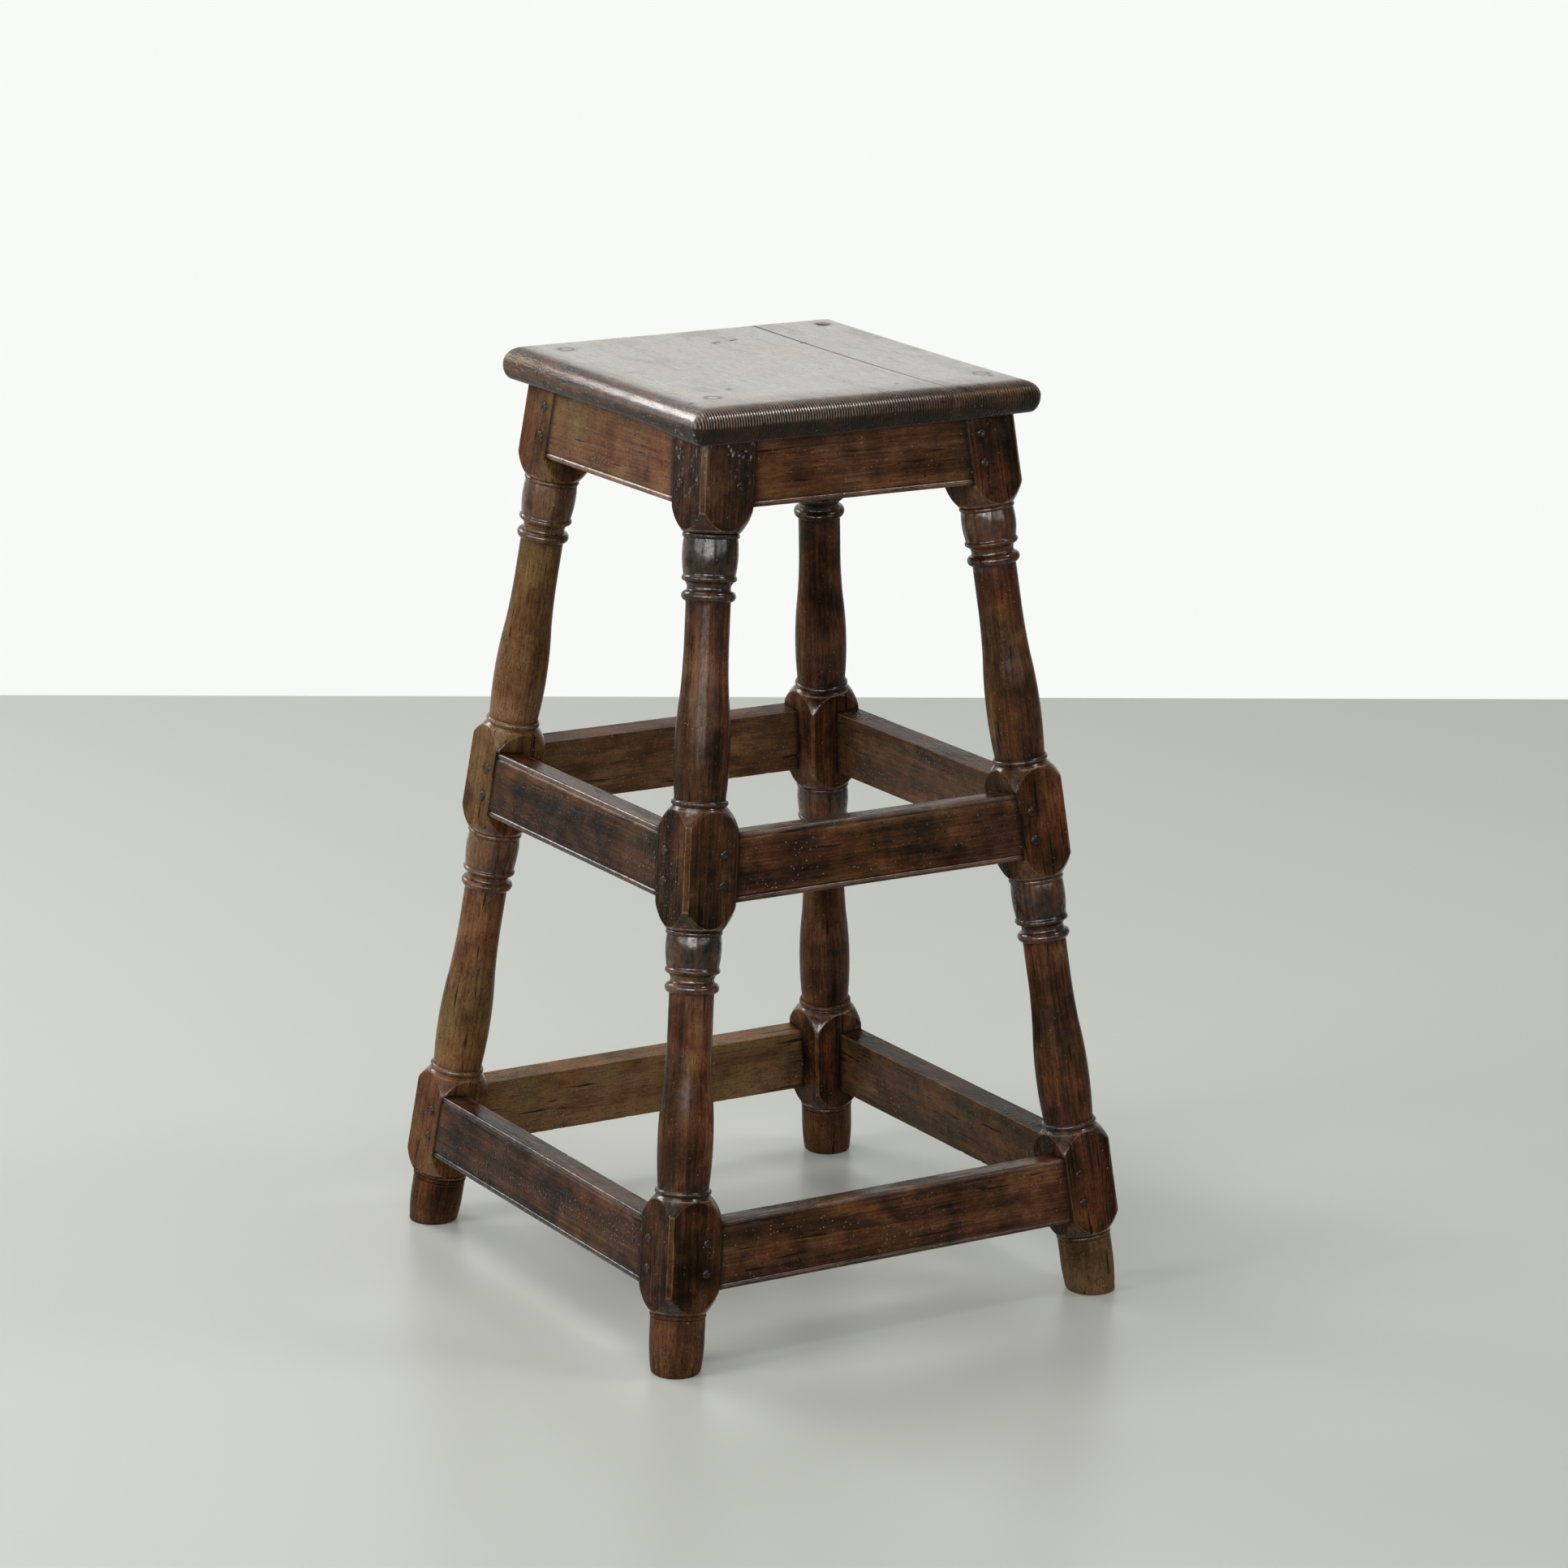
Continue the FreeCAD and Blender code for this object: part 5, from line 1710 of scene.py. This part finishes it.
# %% [markdown]
# ## Studio
# The stool stands on a pale floor before a pale wall, in light that is broad and soft, and yet its waxed
# parts show bright streaks, as windows would give. One strong lamp could do both, but it would turn the
# floor and the top of the seat white. So the work is shared out. The front and the left lamp light the
# wood and stay out of its gloss. The back, top and ceiling lamps pick out edges and the tops of the
# rings. Three windows are seen in the gloss alone, and by light linking only in that of the oak below the
# seat. The floor ends where the wall begins, and it is turned as that wall is. The wall is the world
# behind it, which glossy oak sees dimmed towards the front, so that the wood stays deep.

# %% Floor and room
FLOOR_COLOUR = (0.538, 0.553, 0.508)
FLOOR_ROUGHNESS = 0.34
FLOOR_REACH = 6
WALL_DISTANCE = 2.03
FLOOR_TURN = math.radians(-28.2)
ROOM_COLOUR = (0.94, 0.955, 0.93)
ROOM_LIGHT = 0.34
ROOM_FRONT = (0.5, -0.86, 0)
FRONT_FADE = (-0.3, 0.4)
DIM_SHARE = 0.2


def make_floor():
    material = bpy.data.materials.new("pale floor")
    material.use_nodes = True
    surface = material.node_tree.nodes["Principled BSDF"]
    surface.inputs["Base Color"].default_value = (*FLOOR_COLOUR, 1)
    surface.inputs["Roughness"].default_value = FLOOR_ROUGHNESS
    corners = [Matrix.Rotation(FLOOR_TURN, 4, "Z") @ Vector((x * FLOOR_REACH, y, 0))
               for x, y in ((-1, -FLOOR_REACH), (1, -FLOOR_REACH), (1, WALL_DISTANCE), (-1, WALL_DISTANCE))]
    floor = bpy.data.objects.new("floor", new_mesh("floor", corners, [(0, 1, 2, 3)]))
    floor.data.materials.append(material)
    bpy.context.collection.objects.link(floor)


def make_room():
    world = bpy.data.worlds.new("white room")
    world.use_nodes = True
    tree = world.node_tree
    tree.nodes.clear()
    camera, glossy, transmission = (
        add(tree, "ShaderNodeLightPath", None, None, "Is %s Ray" % kind)
        for kind in ("Camera", "Glossy", "Transmission"))
    direction = add(tree, "ShaderNodeTexCoord", None, None, "Object")
    front = add(tree, "ShaderNodeVectorMath", {"operation": "DOT_PRODUCT"},
                {0: direction, 1: ROOM_FRONT}, "Value")
    dim = front.rise(*FRONT_FADE) * (1 - DIM_SHARE)
    seen = camera.math("MAXIMUM", transmission)
    lit = glossy * (1 - dim) + (1 - glossy) * ROOM_LIGHT
    strength = seen + (1 - seen) * lit
    background = add(tree, "ShaderNodeBackground", None, {"Color": (*ROOM_COLOUR, 1), "Strength": strength})
    leave = tree.nodes.new("ShaderNodeOutputWorld")
    tree.links.new(background.socket, leave.inputs[0])
    bpy.context.scene.world = world


make_floor()
make_room()
print("floor: %.1f m wide, wall %.2f m behind the stool" % (2 * FLOOR_REACH, WALL_DISTANCE))

# %% Lamps
# Of each lamp: where it hangs and its width and height, in metres, and its power in watts.
LAMPS = {
    "front": ((-2.6, -4.4, 2.1), (5.0, 1.4), 105),
    "left": ((-3.0, 0.2, 2.0), (1.2, 1.2), 40),
    "back": ((-1.3, 2.8, 2.2), (1.5, 1.1), 42),
    "top": ((1.5, -1.0, 3.1), (0.6, 0.6), 16),
    "ceiling": ((-0.5, 0.3, 2.4), (1.0, 1.0), 10),
    "window": ((-3.1, -4.1, 1.85), (3.4, 1.9), 230),
    "left window": ((-5.0, -1.3, 1.85), (4.4, 1.7), 110),
    "right window": ((1.2, -5.0, 1.85), (4.4, 1.7), 75),
}
ONLY_IN_GLOSS = ["window", "left window", "right window"]
NOT_IN_GLOSS = ["front", "left"]
LAMP_AIM = Vector((0, 0, 0.4))

below_seat = bpy.data.collections.new("oak below the seat")
for piece in bpy.data.objects:
    if piece.name.startswith(("turned_", "moulded_", "shaved_pegs_")):
        below_seat.objects.link(piece)

for name, (place, size, power) in LAMPS.items():
    lamp = bpy.data.objects.new(name, bpy.data.lights.new(name, "AREA"))
    lamp.data.shape = "RECTANGLE"
    lamp.data.size, lamp.data.size_y = size
    lamp.data.energy = power
    lamp.location = place
    if name in ONLY_IN_GLOSS:
        lamp.light_linking.receiver_collection = below_seat
    lamp.visible_diffuse = name not in ONLY_IN_GLOSS
    lamp.visible_glossy = name not in NOT_IN_GLOSS
    lamp.rotation_euler = (LAMP_AIM - lamp.location).to_track_quat("-Z", "Y").to_euler()
    bpy.context.collection.objects.link(lamp)
print("lamps:", ", ".join(LAMPS))

# %% [markdown]
# ## Camera
# The photo was taken with a long lens from above the height of the seat. A camera set by eye would line
# up in one place and drift in another. So its lens, place and turn were solved from the stool's own rings
# and rails, and the render can be laid over the photo. The Standard view transform keeps the colours as
# they were matched to it.

# %% Camera
# The place in metres, and the distance from lens to picture and the picture's width in the photo's pixels.
CAMERA_PLACE = (-2.10626, -3.48929, 1.45168)
CAMERA_YAW = math.radians(31.3633)
CAMERA_PITCH = math.radians(14.3439)
CAMERA_ROLL = math.radians(0.8857)
FOCAL_PIXELS = 6265
PICTURE_PIXELS = 1932
SENSOR = 36

camera = bpy.data.objects.new("camera", bpy.data.cameras.new("camera"))
camera.data.sensor_width = SENSOR
camera.data.lens = SENSOR * FOCAL_PIXELS / PICTURE_PIXELS
camera.location = CAMERA_PLACE
camera.matrix_world = (Matrix.Translation(CAMERA_PLACE) @ Matrix.Rotation(-CAMERA_YAW, 4, "Z")
                       @ Matrix.Rotation(math.pi / 2 - CAMERA_PITCH, 4, "X")
                       @ Matrix.Rotation(CAMERA_ROLL, 4, "Z"))
bpy.context.collection.objects.link(camera)
bpy.context.scene.camera = camera
bpy.context.scene.view_settings.view_transform = "Standard"
print("lens: %.0f mm" % camera.data.lens)
